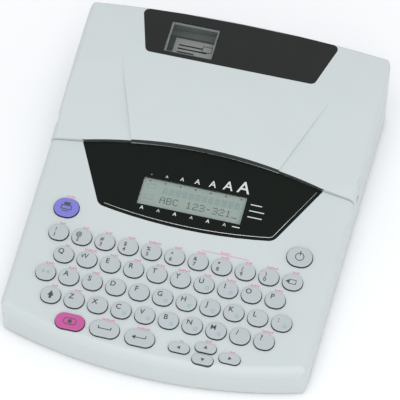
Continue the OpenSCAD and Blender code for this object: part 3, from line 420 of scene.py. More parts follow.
INK_WHITE = Ink("ink_white", (0.62, 0.65, 0.62))
INK_LCD = Ink("lcd_segments", (0.02, 0.03, 0.028), 0.35)
INK_LCD_FAINT = Ink("lcd_segments_off", (0.205, 0.285, 0.265), 0.4)
INK_LEGEND = Ink("ink_legend", (0.06, 0.065, 0.065))


# ---------------------------------------------------------------- mesh workshop


class Shop:
    """Small steps of modelling with operators, each on the active object."""

    @staticmethod
    def clear() -> None:
        """Deselects everything."""
        for other in bpy.context.selected_objects:
            other.select_set(False)

    @classmethod
    def pick(cls, *objects: bpy.types.Object) -> bpy.types.Object:
        """Selects these objects, makes the first one active, and returns it."""
        cls.clear()
        for each in objects:
            each.select_set(True)
        bpy.context.view_layer.objects.active = objects[0]
        return objects[0]

    @classmethod
    def plate(cls, width: float, depth: float, corner: float, segments: int = 8) -> bpy.types.Object:
        """Adds a flat rectangle with round corners and leaves it in edit mode, all selected."""
        made = cls.plane(width, depth)
        bpy.ops.mesh.bevel(affect="VERTICES", offset=min(corner, min(width, depth) / 2), segments=segments)
        bpy.ops.mesh.select_all(action="SELECT")
        bpy.ops.mesh.remove_doubles(threshold=0.01 * min(width, depth))
        bpy.ops.mesh.select_all(action="SELECT")
        return made

    @classmethod
    def plane(cls, width: float, depth: float) -> bpy.types.Object:
        """Adds a flat rectangle about the origin and leaves it in edit mode, all selected."""
        cls.clear()
        bpy.ops.mesh.primitive_plane_add(size=1.0)
        made = bpy.context.active_object
        made.scale = (width, depth, 1.0)
        bpy.ops.object.transform_apply(location=False, rotation=False, scale=True)
        bpy.ops.object.mode_set(mode="EDIT")
        bpy.ops.mesh.select_all(action="SELECT")
        return made

    @staticmethod
    def select(test: Callable[[bmesh.types.BMFace], bool]) -> int:
        """Selects just the faces of the object in edit mode that pass a test, and returns how many."""
        mesh = bmesh.from_edit_mesh(bpy.context.active_object.data)
        bpy.ops.mesh.select_mode(type="FACE")
        count = 0
        for face in mesh.faces:
            chosen = test(face)
            face.select_set(chosen)
            count += chosen
        mesh.select_flush(True)
        bmesh.update_edit_mesh(bpy.context.active_object.data)
        return count

    @staticmethod
    def raise_by(height: float) -> None:
        """Extrudes the selected faces straight up or down."""
        bpy.ops.mesh.extrude_region_move(TRANSFORM_OT_translate={"value": (0.0, 0.0, height)})

    @classmethod
    def done(cls, made: bpy.types.Object, name: str, *finishes: Finish) -> bpy.types.Object:
        """Leaves edit mode, names a piece and gives it its finishes."""
        if bpy.context.mode != "OBJECT":
            bpy.ops.object.mode_set(mode="OBJECT")
        made.name = name
        made.data.name = name
        if finishes:
            made.data.materials.clear()
            for finish in finishes:
                made.data.materials.append(finish.material())
        return made

    @classmethod
    def smooth(cls, made: bpy.types.Object, angle: float = 35.0) -> bpy.types.Object:
        """Shades a piece smooth except at edges sharper than the angle."""
        cls.pick(made)
        bpy.ops.object.shade_smooth_by_angle(angle=math.radians(angle))
        return made

    @staticmethod
    def copy(source: bpy.types.Object, name: str) -> bpy.types.Object:
        """Copies a piece with a mesh of its own."""
        made = source.copy()
        made.data = source.data.copy()
        made.name = name
        bpy.context.scene.collection.objects.link(made)
        return made

    @classmethod
    def join(cls, parts: Sequence[bpy.types.Object], name: str) -> bpy.types.Object:
        """Joins pieces into one of that name."""
        made = cls.pick(*parts)
        if len(parts) > 1:
            bpy.ops.object.join()
        made.name = name
        made.data.name = name
        return made

    @staticmethod
    def place(made: bpy.types.Object, matrix: Matrix) -> bpy.types.Object:
        """Moves a piece's mesh by a matrix and leaves its object at the origin."""
        made.data.transform(matrix)
        made.data.update()
        return made


@dataclass(frozen=True)
class Style:
    """How characters are set: their size, and how far their strokes are thickened."""

    size: float
    weight: float = 0.0


class Printer:
    """Makes flat printed marks with the thickness of a film of ink."""

    @staticmethod
    def text(words: str, style: Style, finish: Finish) -> bpy.types.Object:
        """Returns characters as a thin mesh about the origin."""
        Shop.clear()
        bpy.ops.object.text_add()
        made = bpy.context.active_object
        line = made.data
        line.body = words
        line.size = style.size
        line.align_x = "CENTER"
        line.align_y = "CENTER"
        line.extrude = INK_T / 2
        line.offset = style.weight
        line.resolution_u = 3
        bpy.ops.object.convert(target="MESH")
        return Shop.done(made, "mark", finish)

    @staticmethod
    def bar(width: float, depth: float, finish: Finish, corner: float = 0.0) -> bpy.types.Object:
        """Returns a flat bar, with round corners if wanted."""
        made = Shop.plate(width, depth, corner, 4) if corner > 0 else Shop.plane(width, depth)
        Shop.raise_by(INK_T)
        return Shop.done(made, "mark", finish)

    @staticmethod
    def ring(size: tuple[float, float], stroke: float, finish: Finish, corner: float) -> bpy.types.Object:
        """Returns a flat frame or ring of one stroke width."""
        made = Shop.plate(*size, corner, 6)
        bpy.ops.mesh.inset(thickness=stroke)
        bpy.ops.mesh.delete(type="FACE")
        bpy.ops.mesh.select_all(action="SELECT")
        Shop.raise_by(INK_T)
        return Shop.done(made, "mark", finish)

    @staticmethod
    def triangle(size: float, finish: Finish, turn: float = 0.0) -> bpy.types.Object:
        """Returns a flat triangle that points to the back, or elsewhere by a turn in degrees."""
        Shop.clear()
        bpy.ops.mesh.primitive_circle_add(vertices=3, radius=size / 2, fill_type="NGON")
        made = bpy.context.active_object
        bpy.ops.object.mode_set(mode="EDIT")
        bpy.ops.mesh.select_all(action="SELECT")
        Shop.raise_by(INK_T)
        Shop.done(made, "mark", finish)
        return Shop.place(made, Matrix.Rotation(math.radians(turn), 4, "Z"))


def shift(made: bpy.types.Object, x: float, y: float, z: float = 0.0) -> bpy.types.Object:
    """Moves a piece's mesh and returns the piece."""
    return Shop.place(made, Matrix.Translation((x, y, z)))


# ---------------------------------------------------------------- frame readings


@dataclass(frozen=True)
class Plane:
    """A flat face of the object, with its own u, v and w, where w stands out from the face."""

    matrix: Matrix

    @classmethod
    def of_deck(cls, frame: dict[str, Any]) -> Plane:
        """Finds the deck from the direction in which the keys travel and the top of the display panel."""
        press = next(j for j in frame["joints"] if j["name"] == "print_key_press")
        up = -Vector(press["axis"]).normalized()
        reach = max(up.dot(v.co) for v in frame["nodes"]["display_panel"].data.vertices)
        tilt = math.atan2(-up.y, up.z)
        return cls(Matrix.Translation((0.0, 0.0, reach / up.z)) @ Matrix.Rotation(tilt, 4, "X"))

    def extent(self, node: str, above: float = -1.0) -> tuple[Vector, Vector]:
        """Returns the corners of a node in this plane's own u, v and w, from its points above a height."""
        back = self.matrix.inverted()
        points = [back @ v.co for v in bpy.data.objects[node].data.vertices]
        kept = [p for p in points if p.z > above]
        low = Vector([min(p[i] for p in kept) for i in range(3)])
        high = Vector([max(p[i] for p in kept) for i in range(3)])
        return low, high

    def put(self, made: bpy.types.Object, u: float = 0.0, v: float = 0.0, w: float = 0.0) -> bpy.types.Object:
        """Stands a piece that was made about the origin on this plane."""
        return Shop.place(made, self.matrix @ Matrix.Translation((u, v, w)))


class Builder:
    """What every sub-assembly needs: the frame, and a way to hand over a finished piece."""

    frame: dict[str, Any]
    deck: Plane

    def hand_over(self, made: bpy.types.Object, body: str, slot: str, *replaced: str) -> bpy.types.Object:
        """Lets a piece ride on a body and hides the nodes that it stands for."""
        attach(made, body)
        if replaced:
            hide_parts(*replaced)
        LOG.info("%s rides on %s", made.name, body)
        return made


# ---------------------------------------------------------------- keys


class Glyph(Enum):
    """Plain signs that stand for the keys' functions."""

    POWER = "power"
    PRINT = "print"
    ERASE = "erase"
    LEVEL = "level"
    SHIFT = "shift"
    SPACE = "space"
    RETURN = "return"
    LEFT = "left"
    RIGHT = "right"
    UP = "up"
    DOWN = "down"
    CODE = "code"


@dataclass(frozen=True)
class Key:
    """A key node, what is printed on its caps, and its finishes."""

    node: str
    legends: tuple[str, ...] = ()
    glyph: Glyph | None = None
    top: Finish = KEY_TOP
    # The skirt finish is painted shade on the cap's sides, partly a darker skirt moulding.
    skirt: Finish = KEY_SKIRT_SHADE
    slot: str = "key_grey"
    minor: str = ""


KEYS = (
    Key("digit_keys", tuple("1234567890")),
    Key("top_letter_keys", tuple("QWERTYUIOP"), minor="      xx"),
    Key("home_letter_keys", (*"ASDFGHJKL", ":"), minor="    xxxx x"),
    Key("low_letter_keys", (*"ZXCVBNM", "/", "?"), minor="  xxxxx"),
    Key("print_key", glyph=Glyph.PRINT, top=PRINT_TOP, skirt=PRINT_SKIRT_SHADE, slot="key_blue"),
    Key("power_key", glyph=Glyph.POWER),
    Key("delete_key", glyph=Glyph.ERASE),
    Key("alt_key", glyph=Glyph.LEVEL),
    Key("shift_key", glyph=Glyph.SHIFT),
    Key("code_key", glyph=Glyph.CODE, top=CODE_TOP, skirt=CODE_SKIRT_SHADE, slot="key_magenta"),
    Key("space_key", glyph=Glyph.SPACE),
    Key("return_key", glyph=Glyph.RETURN),
    Key("left_key", glyph=Glyph.LEFT),
    Key("up_key", glyph=Glyph.UP),
    Key("down_key", glyph=Glyph.DOWN),
    Key("right_key", glyph=Glyph.RIGHT),
)


@dataclass
class KeyField(Builder):
    """The key caps with their legends, and the marks printed on the deck around them."""

    frame: dict[str, Any]
    deck: Plane
    edge: float = 0.55 * MM
    rim: float = 1.0 * MM
    dish: float = 0.07 * MM
    letter_size: float = 5.0 * MM
    under_deck: float = 2.3 * MM
    letter_corner: float = 0.49
    over_digits: str = "!@#$%^&*()"
    digit_size: float = 3.9 * MM
    minor_size: float = 2.3 * MM
    legend_share: float = 0.17
    ring_gap: float = 1.3 * MM
    ring_w: float = 0.9 * MM
    ring_h: float = 0.28 * MM
    ring_round: float = 0.2 * MM

    def cap(self, size: tuple[float, float], height: float, corner: float, key: Key) -> bpy.types.Object:
        """Models one cap about the origin, with its top at the given height above the deck.

        Args:
            size: Width and depth of the cap.
            height: How far the cap stands above the deck.
            corner: Radius of the cap's corners, seen from above.
            key: The key, for its finishes.

        Returns:
            The cap, with a skirt under the deck, a rounded edge and a shallow dish.
        """
        made = Shop.plate(*size, corner, 10)
        bpy.ops.transform.translate(value=(0.0, 0.0, -self.under_deck))
        Shop.raise_by(height + self.under_deck)
        Shop.select(lambda f: f.normal.z > 0.5)
        bpy.ops.mesh.region_to_loop()
        bpy.ops.mesh.bevel(affect="EDGES", offset=self.edge, segments=4)
        top = height - self.edge / 10
        Shop.select(lambda f: f.normal.z > 0.99 and f.calc_center_median().z > top)
        bpy.ops.mesh.inset(thickness=self.rim * 0.45)
        bpy.ops.mesh.inset(thickness=self.rim * 0.55)
        bpy.ops.transform.translate(value=(0.0, 0.0, -self.dish * 0.6))
        bpy.ops.mesh.inset(thickness=self.rim * 0.7)
        bpy.ops.transform.translate(value=(0.0, 0.0, -self.dish * 0.4))
        bpy.ops.mesh.select_all(action="SELECT")
        bpy.ops.mesh.normals_make_consistent(inside=False)
        Shop.done(made, "cap", key.top, key.skirt)
        # Faces below the rounded rim take the darker skirt finish: painted shade on the cap's sides.
        for face in made.data.polygons:
            face.material_index = 0 if face.center.z > height - self.edge * 0.75 else 1
        return Shop.smooth(made, 50.0)

    def glyph(self, sign: Glyph, size: tuple[float, float]) -> bpy.types.Object:
        """Returns the flat sign of a function key, about the origin."""
        ink = INK_LEGEND
        s = min(size)
        if sign is Glyph.POWER:
            parts = [Printer.ring((s * 0.42, s * 0.42), 0.5 * MM, ink, s * 0.209),
                     shift(Printer.bar(0.6 * MM, s * 0.22, ink), 0, s * 0.19)]
        elif sign is Glyph.PRINT:
            parts = [Printer.ring((s * 0.52, s * 0.24), 0.55 * MM, ink, 0.5 * MM),
                     shift(Printer.bar(s * 0.3, s * 0.14, ink), 0, s * 0.2),
                     shift(Printer.bar(s * 0.3, 0.5 * MM, ink), 0, -s * 0.2)]
        elif sign is Glyph.ERASE:
            parts = [Printer.ring((s * 0.42, s * 0.3), 0.45 * MM, ink, 0.4 * MM),
                     shift(Printer.triangle(s * 0.3, ink, 90), -s * 0.26, 0)]
        elif sign is Glyph.LEVEL:
            parts = [shift(Printer.triangle(s * 0.26, INK_TEAL), -s * 0.14, 0.3 * MM),
                     shift(Printer.triangle(s * 0.26, INK_TEAL), s * 0.14, 0.3 * MM)]
        elif sign is Glyph.SHIFT:
            parts = [shift(Printer.triangle(s * 0.42, ink), 0, s * 0.06),
                     shift(Printer.bar(s * 0.15, s * 0.2, ink), 0, -s * 0.12)]
        elif sign is Glyph.CODE:
            parts = [Printer.bar(s * 0.24, s * 0.24, ink, s * 0.119),
                     Printer.ring((s * 0.78, s * 0.42), 0.45 * MM, ink, s * 0.2)]
        elif sign is Glyph.SPACE:
            parts = [Printer.bar(s * 0.75, 0.6 * MM, ink),
                     shift(Printer.bar(0.6 * MM, s * 0.16, ink), -s * 0.36, s * 0.07),
                     shift(Printer.bar(0.6 * MM, s * 0.16, ink), s * 0.36, s * 0.07)]
        elif sign is Glyph.RETURN:
            parts = [Printer.bar(s * 0.7, 0.55 * MM, ink),
                     shift(Printer.triangle(s * 0.3, ink, 90), -s * 0.33, 0),
                     shift(Printer.bar(0.55 * MM, s * 0.2, ink), s * 0.33, s * 0.09)]
        else:
            turns = {Glyph.UP: 0, Glyph.LEFT: 90, Glyph.DOWN: 180, Glyph.RIGHT: -90}
            parts = [Printer.triangle(s * 0.42, ink, turns[sign])]
        return Shop.join(parts, "sign")

    def legend(self, key: Key, index: int, size: tuple[float, float]) -> list[bpy.types.Object]:
        """Returns the printed marks of one cap, about the origin."""
        if key.glyph:
            return [self.glyph(key.glyph, size)]
        word = key.legends[index]
        style = Style(self.letter_size, weight=(0.04 if word in "MW" else 0.09) * MM)
        across, along = -self.legend_share * size[0], self.legend_share * size[1]
        if word.isdigit():
            small = Style(self.digit_size, weight=0.07 * MM)
            marks = [shift(Printer.text(word, small, INK_LEGEND), across, -0.2 * size[1]),
                     shift(Printer.text(self.over_digits[index], small, INK_LEGEND), across, 0.14 * size[1])]
        else:
            marks = [shift(Printer.text(word, style, INK_LEGEND), across, along)]
        if index < len(key.minor) and key.minor[index] == "x":
            frame = Printer.ring((self.minor_size, self.minor_size), 0.45 * MM, INK_TEAL, 0.5 * MM)
            marks.append(shift(frame, 0.19 * size[0], -self.legend_share * size[1]))
        return marks

    def build_key(self, key: Key) -> tuple[bpy.types.Object, list[tuple[float, float]]]:
        """Builds the caps and legends of one key node.

        Args:
            key: The node's key.

        Returns:
            The joined caps, and the middle of each cap on the deck.
        """
        low, high = self.deck.extent(key.node, above=0.0)
        count = max(1, len(key.legends))
        single = self.deck.extent("delete_key", above=0.0)
        width = (single[1] - single[0]).x if count > 1 else (high - low).x
        size = (width, (high - low).y)
        pitch = ((high - low).x - width) / max(1, count - 1)
        depth = min(size)
        is_letter = count > 1 or key.node in ("delete_key", "alt_key", "shift_key")
        corner = self.letter_corner * depth if is_letter else depth / 2
        height = high.z
        first = self.cap(size, height, corner, key)
        caps, marks, middles = [], [], []
        for i in range(count):
            middle = (low.x + width / 2 + i * pitch, (low.y + high.y) / 2)
            middles.append(middle)
            one = Shop.copy(first, "cap") if i < count - 1 else first
            caps.append(self.deck.put(one, *middle))
            for mark in self.legend(key, i, size):
                marks.append(self.deck.put(mark, *middle, height - INK_T))
        joined = Shop.join(caps, f"{key.node}_caps" if count > 1 else f"{key.node}_cap")
        self.hand_over(joined, key.node, key.slot, key.node)
        legends = Shop.join(marks, f"{key.node}_legends" if count > 1 else f"{key.node}_legend")
        self.hand_over(legends, key.node, key.slot)
        return joined, middles

    def tick_row(self, letters: int, finish: Finish) -> bpy.types.Object:
        """Returns a short row of upright ticks that stands for a printed word."""
        step, stroke, tall = 0.92 * MM, 0.5 * MM, 1.5 * MM
        ticks = []
        for i in range(letters):
            height = tall * (1.0, 0.72, 0.72, 0.95)[i % 4]
            tick = Printer.bar(stroke + 0.12 * MM * (i % 2), height, finish)
            ticks.append(shift(tick, (i - (letters - 1) / 2) * step, (height - tall) / 2))
        return Shop.join(ticks, "word")

    def seat_ring(self, node: str) -> None:
        """Builds the low raised ring in the deck round an oval key."""
        low, high = self.deck.extent(node, above=0.0)
        size = (high - low).x + 2 * self.ring_gap, (high - low).y + 2 * self.ring_gap
        made = Shop.plate(*size, min(size) / 2, 16)
        bpy.ops.mesh.inset(thickness=self.ring_w)
        bpy.ops.mesh.delete(type="FACE")
        bpy.ops.mesh.select_all(action="SELECT")
        Shop.raise_by(self.ring_h)
        Shop.select(lambda f: f.normal.z > 0.9)
        bpy.ops.mesh.region_to_loop()
        bpy.ops.mesh.bevel(affect="EDGES", offset=self.ring_round, segments=3)
        Shop.done(made, f"{node}_ring", SHELL)
        Shop.smooth(made, 60.0)
        self.deck.put(made, (low.x + high.x) / 2, (low.y + high.y) / 2, -0.02 * MM)
        self.hand_over(made, "case", "case_plastic")

    def build(self) -> None:
        """Builds all keys, the function marks on the deck and the two rings."""
        middles: dict[str, list[tuple[float, float]]] = {}
        for key in KEYS:
            _, middles[key.node] = self.build_key(key)
        words = {
            "digit_keys": (4, 4, 5, 5, 9, 5, 6, 6, 5, 8), "delete_key": (5,), "print_key": (6,),
            "top_letter_keys": (3, 9, 5, 5, 6, 8, 5, 7, 6, 6), "alt_key": (6,),
            "home_letter_keys": (6, 5), "shift_key": (4,), "low_letter_keys": (5, 0, 0, 0, 0, 0, 0, 0, 8),
            "space_key": (9,), "return_key": (9,), "left_key": (3,), "up_key": (4,), "right_key": (4,),
        }
        marks = []
        for node, counts in words.items():
            low, high = self.deck.extent(node, above=0.0)
            lift = (high.y - low.y) / 2 + 1.9 * MM
            for (u, v), letters in zip(middles[node], counts):
                if letters:
                    marks.append(self.deck.put(self.tick_row(letters, INK_PINK), u + 0.6 * MM, v + lift, 0.0))
        low, high = self.deck.extent("digit_keys", above=0.0)
        digits = middles["digit_keys"]
        span = digits[8][0] - digits[6][0]
        line = self.deck.put(Printer.bar(span, 0.4 * MM, INK_PINK), digits[7][0], high.y + 3.6 * MM)
        marks += [line, self.deck.put(self.tick_row(7, INK_PINK), digits[7][0], high.y + 5.0 * MM)]
        self.hand_over(Shop.join(marks, "function_marks"), "case", "case_plastic")
        for node in ("print_key", "power_key"):
            self.seat_ring(node)


# ---------------------------------------------------------------- display


DOTS = {
    "A": "01110 10001 10001 11111 10001 10001 10001",
    "B": "11110 10001 10001 11110 10001 10001 11110",
    "C": "01110 10001 10000 10000 10000 10001 01110",
    "1": "00100 01100 00100 00100 00100 00100 01110",
    "2": "01110 10001 00001 00110 01000 10000 11111",
    "3": "11110 00001 00001 01110 00001 00001 11110",
    "-": "00000 00000 00000 01110 00000 00000 00000",
    "_": "00000 00000 00000 00000 00000 00000 11111",
    " ": "00000 00000 00000 00000 00000 00000 00000",
}


@dataclass
class Display(Builder):
    """The black panel's printing, its pinstripe, and what the display shows."""

    frame: dict[str, Any]
    deck: Plane
    message: str = "ABC 123-321_"
    dot: float = 0.72 * MM
    stripe_in: float = 2.3 * MM
    stripe_w: float = 0.34 * MM
    pointers: int = 7
    sample_sizes: tuple[float, ...] = (1.2, 2.6, 3.8, 5.2, 6.8, 9.6, 12.4)
    width_sample: float = 3.3 * MM
    dash: float = 0.7 * MM

    def segments(self, low: Vector, high: Vector) -> None:
        """Builds the characters, the idle cells and the pointers, on top of the crystal."""
        wide, deep = high.x - low.x, high.y - low.y
        start, step = low.x + 0.205 * wide, 0.765 * wide / len(self.message)
        dot = Printer.bar(self.dot * 0.92, self.dot * 0.92, INK_LCD)
        marks = []
        for i, letter in enumerate(self.message):
            for row, bits in enumerate(DOTS[letter].split()):
                for column, bit in enumerate(bits):
                    if bit == "1":
                        one = Shop.copy(dot, "dot")
                        u = start + i * step + column * self.dot
                        v = low.y + 0.43 * deep - row * self.dot
                        marks.append(self.deck.put(one, u, v, high.z))
        bpy.data.objects.remove(dot)
        for i in range(self.pointers):
            u = low.x + wide * (0.06 + 0.885 * i / (self.pointers - 1))
            marks.append(self.deck.put(Printer.triangle(1.9 * MM, INK_LCD), u, high.y - 1.5 * MM, high.z))
        self.hand_over(Shop.join(marks, "display_segments"), "case", "lcd_glass")
        idle = []
        for i in range(len(self.message)):
            u = start + i * step + 2 * self.dot
            idle.append(self.deck.put(Printer.bar(5 * self.dot, 7 * self.dot, INK_LCD_FAINT), u,
                                      low.y + 0.66 * deep, high.z - INK_T / 2))
        for v in (0.74, 0.34):
            frame = Printer.ring((5.6 * MM, 3.6 * MM), 0.6 * MM, INK_LCD_FAINT, 0.4 * MM)
            idle.append(self.deck.put(frame, low.x + 0.085 * wide, low.y + v * deep, high.z))
        for i in range(5):
            dash = Printer.bar(1.0 * MM, 1.9 * MM, INK_LCD_FAINT)
            idle.append(self.deck.put(dash, high.x - 1.6 * MM, low.y + deep * (0.16 + 0.15 * i), high.z))
        self.hand_over(Shop.join(idle, "display_idle_cells"), "case", "lcd_glass")

    def printing(self, low: Vector, high: Vector, top: float) -> None:
        """Prints a row of growing letters above the window, small ones below, and dashes at the right."""
        wide = high.x - low.x
        marks = []
        for i, size in enumerate(self.sample_sizes):
            sample = Printer.text("A", Style(size * MM, weight=(0.02 + 0.012 * i) * MM), INK_WHITE)
            u = low.x + wide * (0.06 + 0.885 * i / (self.pointers - 1))
            marks.append(self.deck.put(sample, u, high.y + 1.9 * MM + 0.36 * size * MM, top))
        for i in range(self.pointers - 1):
            sample = Printer.text("A", Style(self.width_sample, weight=0.1 * MM * (1 - i % 2)), INK_WHITE)
            u = low.x + wide * (0.06 + 0.8 * i / (self.pointers - 2))
            marks.append(self.deck.put(sample, u, low.y - 2.6 * MM, top))
        last = Printer.bar(5 * MM, self.dash, INK_WHITE)
        marks.append(self.deck.put(last, high.x - 2 * MM, low.y - 2.6 * MM, top))
        for i, length in enumerate((7.5, 10.0, 9.5)):
            dash = Printer.bar(length * MM, self.dash, INK_WHITE)
            u = high.x + 3.4 * MM + length * MM / 2
            marks.append(self.deck.put(dash, u, high.y - (4.5 + 4.6 * i) * MM, top))
        self.hand_over(Shop.join(marks, "panel_printing"), "case", "panel_black")

    def pinstripe(self) -> None:
        """Builds the thin silver line inside the panel's lower and right edges."""
        made = Shop.copy(self.frame["nodes"]["display_panel"], "panel_pinstripe")
        made.parent = None
        Shop.place(made, self.deck.matrix.inverted())
        Shop.pick(made)
        bpy.ops.object.mode_set(mode="EDIT")
        bpy.ops.mesh.select_all(action="SELECT")
        bpy.ops.mesh.remove_doubles(threshold=0.001 * MM)
        top = max(corner.co.z for corner in made.data.vertices)
        Shop.select(lambda f: min(corner.co.z for corner in f.verts) > top - 0.02 * MM)
        bpy.ops.mesh.select_all(action="INVERT")
        bpy.ops.mesh.delete(type="FACE")
        bpy.ops.mesh.select_all(action="SELECT")
        bpy.ops.mesh.dissolve_limited(angle_limit=math.radians(0.5))
        bpy.ops.mesh.select_all(action="SELECT")
        bpy.ops.mesh.inset(thickness=self.stripe_in)
        bpy.ops.mesh.hide(unselected=True)
        bpy.ops.mesh.inset(thickness=self.stripe_w)
        bpy.ops.mesh.delete(type="FACE")
        bpy.ops.mesh.reveal(select=True)
        bpy.ops.mesh.delete(type="FACE")
        low, high = self.deck.extent("display_window")
        ends, _ = self.deck.extent("display_panel")

        def is_line(face: bmesh.types.BMFace) -> bool:
            """Tells whether a face lies on the lower or the right stretch, and not round the window."""
            c = face.calc_center_median()
            beside = low.x - 4 * MM < c.x < high.x + 4 * MM and low.y - 4 * MM < c.y < high.y + 4 * MM
            return not beside and c.y < high.y + 8 * MM and c.x > ends.x + 26 * MM

        Shop.select(is_line)
        bpy.ops.mesh.select_all(action="INVERT")
        bpy.ops.mesh.delete(type="FACE")
        bpy.ops.mesh.select_all(action="SELECT")
        Shop.raise_by(INK_T)
        Shop.done(made, "panel_pinstripe", PINSTRIPE)
        self.hand_over(self.deck.put(made), "case", "panel_black")

    def cover_step_shade(self) -> None:
        """Builds a dark sheet on the cover's front step, where it stands over the panel: painted shade on the
        silver wall.
        """
        made = Shop.copy(self.frame["nodes"]["tape_cover"], "cover_step_shade")
        made.parent = None
        Shop.pick(made)
        bpy.ops.object.mode_set(mode="EDIT")
        low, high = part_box("display_panel")
        reach = high.x - 0.2 * MM

        def is_step(face: bmesh.types.BMFace) -> bool:
            """Tells whether a face is part of the step."""
            c = face.calc_center_median()
            ahead = face.normal.y < -0.9 and high.y - 22 * MM < c.y < high.y + 2 * MM
            return ahead and c.z > high.z - 3 * MM and abs(c.x) < reach

        Shop.select(is_step)
        bpy.ops.mesh.select_all(action="INVERT")
        bpy.ops.mesh.delete(type="FACE")
        bpy.ops.mesh.select_all(action="SELECT")
        bpy.ops.transform.translate(value=(0.0, -INK_T, 0.0))
        Shop.done(made, "cover_step_shade", STEP_SHADE)
        self.hand_over(made, "cover", "panel_black")

    def build(self) -> None:
        """Builds the display's pieces."""
        low, high = self.deck.extent("display_window")
        _, crystal = self.deck.extent("lcd_module")
        self.segments(low, Vector((high.x, high.y, crystal.z)))
        _, panel = self.deck.extent("display_panel")
        self.printing(low, high, panel.z)
        self.pinstripe()
        self.cover_step_shade()


# ---------------------------------------------------------------- cassette


@dataclass
class CassetteSticker(Builder):
    """Plain printing on the sticker that shows through the cover's window."""

    frame: dict[str, Any]
    deck: Plane

    def build(self) -> None:
        """Prints a dark band, a few bars and a frame on the sticker."""
        low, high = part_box("cassette_label")
        window_low, window_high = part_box("cover_window")
        x0, x1 = max(low.x, window_low.x) + 3 * MM, min(high.x, window_high.x) - 3 * MM
        y0, y1 = max(low.y, window_low.y) + 2 * MM, min(high.y, window_high.y) - 2 * MM
        wide, deep = x1 - x0, y1 - y0
        marks = [shift(Printer.bar(wide, 0.28 * deep, INK_DARK, 0.6 * MM), (x0 + x1) / 2, y0 + 0.16 * deep)]
        for i, share in enumerate((0.5, 0.85, 0.7)):
            bar = Printer.bar(share * wide, 0.07 * deep, INK_DARK)
            marks.append(shift(bar, x0 + share * wide / 2, y0 + (0.46 + 0.17 * i) * deep))
        frame = Printer.ring((0.3 * wide, 0.3 * deep), 0.5 * MM, INK_DARK, 0.6 * MM)
        marks.append(shift(frame, x1 - 0.16 * wide, y1 - 0.2 * deep))
        made = Shop.join(marks, "sticker_printing")
        shift(made, 0, 0, high.z)
        self.hand_over(made, "case", "paper")


# ---------------------------------------------------------------- finishes of the frame's own nodes


NODE_FINISH: dict[str, Finish] = {
    "bottom_case": SHELL, "top_case": SHELL, "tape_cover": SHELL, "battery_cover": SHELL,
    "display_panel": PANEL, "display_window": LCD_COVER, "lcd_module": LCD_GROUND,
    "cover_panel": INLAY, "cover_window": SMOKED, "rubber_feet": FOOT_RUBBER, "case_screws": STEEL,
    "exit_bezel": BLACK, "dc_jack": BLACK, "hinge_pins": STEEL, "battery_cells": SLEEVE,
    "battery_contacts": STEEL, "key_board": BOARD, "keypad_mat": SILICONE, "main_board": BOARD,
    "chassis": CHASSIS, "print_head": CERAMIC, "heat_sink": ALUMINIUM, "platen_holder": ACETAL,
    "platen_roller": ROLLER_RUBBER, "pinch_roller": ROLLER_RUBBER,
    "drive_motor": STEEL, "motor_pinion": BRASS,
    "idler_gear_1": ACETAL, "idler_gear_2": ACETAL, "ribbon_gear": ACETAL, "feed_gear": ACETAL,
    "cutter_frame": STEEL, "fixed_blade": BRIGHT_STEEL, "cutter_blade": BRIGHT_STEEL, "cutter_gear": ACETAL,
    "cassette_lower": CASSETTE, "cassette_upper": CASSETTE, "cassette_label": PAPER, "label_tape": TAPE,
    "tape_drive_roller": ROLLER_RUBBER,
}


def dress_frame(frame: dict[str, Any]) -> None:
    """Gives every node of the frame its finish."""
    for name, node in frame["nodes"].items():
        finish = NODE_FINISH.get(name)
        if name in ("label_tape_spool", "ribbon_supply_spool", "ribbon_takeup_spool"):
            low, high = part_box(name)
            colour = (0.7, 0.7, 0.67) if name.startswith("label") else (0.03, 0.03, 0.035)
            finish = Wound(name + "_wound", colour, ((low.x + high.x) / 2, (low.y + high.y) / 2))
        material = (finish or KEY_TOP).material()
        node.data.materials.clear()
        node.data.materials.append(material)


# ---------------------------------------------------------------- studio


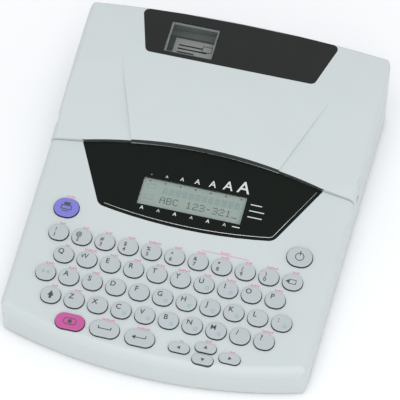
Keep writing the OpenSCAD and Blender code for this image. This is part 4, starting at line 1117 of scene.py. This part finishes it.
@dataclass
class Studio:
    """Pale floor, soft lights and the camera."""

    azimuth: float = 14.51
    elevation: float = 54.41
    distance: float = 1.507
    target: Colour = (-0.00198, 0.0185, 0.0)
    lens: float = 202.27

    def camera(self) -> None:
        """Makes the camera."""
        a, e = math.radians(self.azimuth), math.radians(self.elevation)
        back = Vector((math.sin(a) * math.cos(e), -math.cos(a) * math.cos(e), math.sin(e)))
        data = bpy.data.cameras.new("camera")
        data.lens = self.lens
        data.sensor_width = 36.0
        data.clip_start, data.clip_end = 0.05, 20.0
        eye = bpy.data.objects.new("camera", data)
        eye.location = Vector(self.target) + back * self.distance
        eye.rotation_euler = (-back).to_track_quat("-Z", "Y").to_euler()
        bpy.context.scene.collection.objects.link(eye)
        bpy.context.scene.camera = eye

    @staticmethod
    def soft_box(name: str, place: Colour, size: float, power: float, aim: Colour = (0.0, 0.0, 0.03)) -> None:
        """Hangs one square soft light that looks at a point."""
        data = bpy.data.lights.new(name, "AREA")
        data.shape = "SQUARE"
        data.size = size
        data.energy = power
        lamp = bpy.data.objects.new(name, data)
        lamp.location = place
        lamp.rotation_euler = (Vector(aim) - Vector(place)).to_track_quat("-Z", "Y").to_euler()
        bpy.context.scene.collection.objects.link(lamp)

    def build(self) -> None:
        """Builds the floor, the lights and the sky."""
        Shop.clear()
        bpy.ops.mesh.primitive_plane_add(size=8.0)
        floor = bpy.context.active_object
        floor.name = "floor"
        floor.data.materials.append(FLOOR.material())
        self.soft_box("top_light", (0.15, -0.55, 1.6), 1.2, 9.0)
        self.soft_box("side_light", (1.6, -0.2, 0.6), 0.9, 1.6)
        self.soft_box("front_light", (0.2, -1.4, 0.9), 0.9, 3.2)
        world = bpy.data.worlds.new("studio")
        world.use_nodes = True
        world.node_tree.nodes["Background"].inputs["Color"].default_value = (0.95, 0.97, 1.0, 1.0)
        world.node_tree.nodes["Background"].inputs["Strength"].default_value = 0.80
        bpy.context.scene.world = world
        bpy.context.scene.view_settings.view_transform = "Standard"


def main() -> None:
    """Builds the label maker around its frame."""
    logging.basicConfig(level=logging.INFO)
    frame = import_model()
    Shop.clear()
    Studio().camera()
    dress_frame(frame)
    deck = Plane.of_deck(frame)
    for assembly in (KeyField(frame, deck), Display(frame, deck), CassetteSticker(frame, deck)):
        assembly.build()
    Studio().build()


if __name__ == "__main__":
    main()
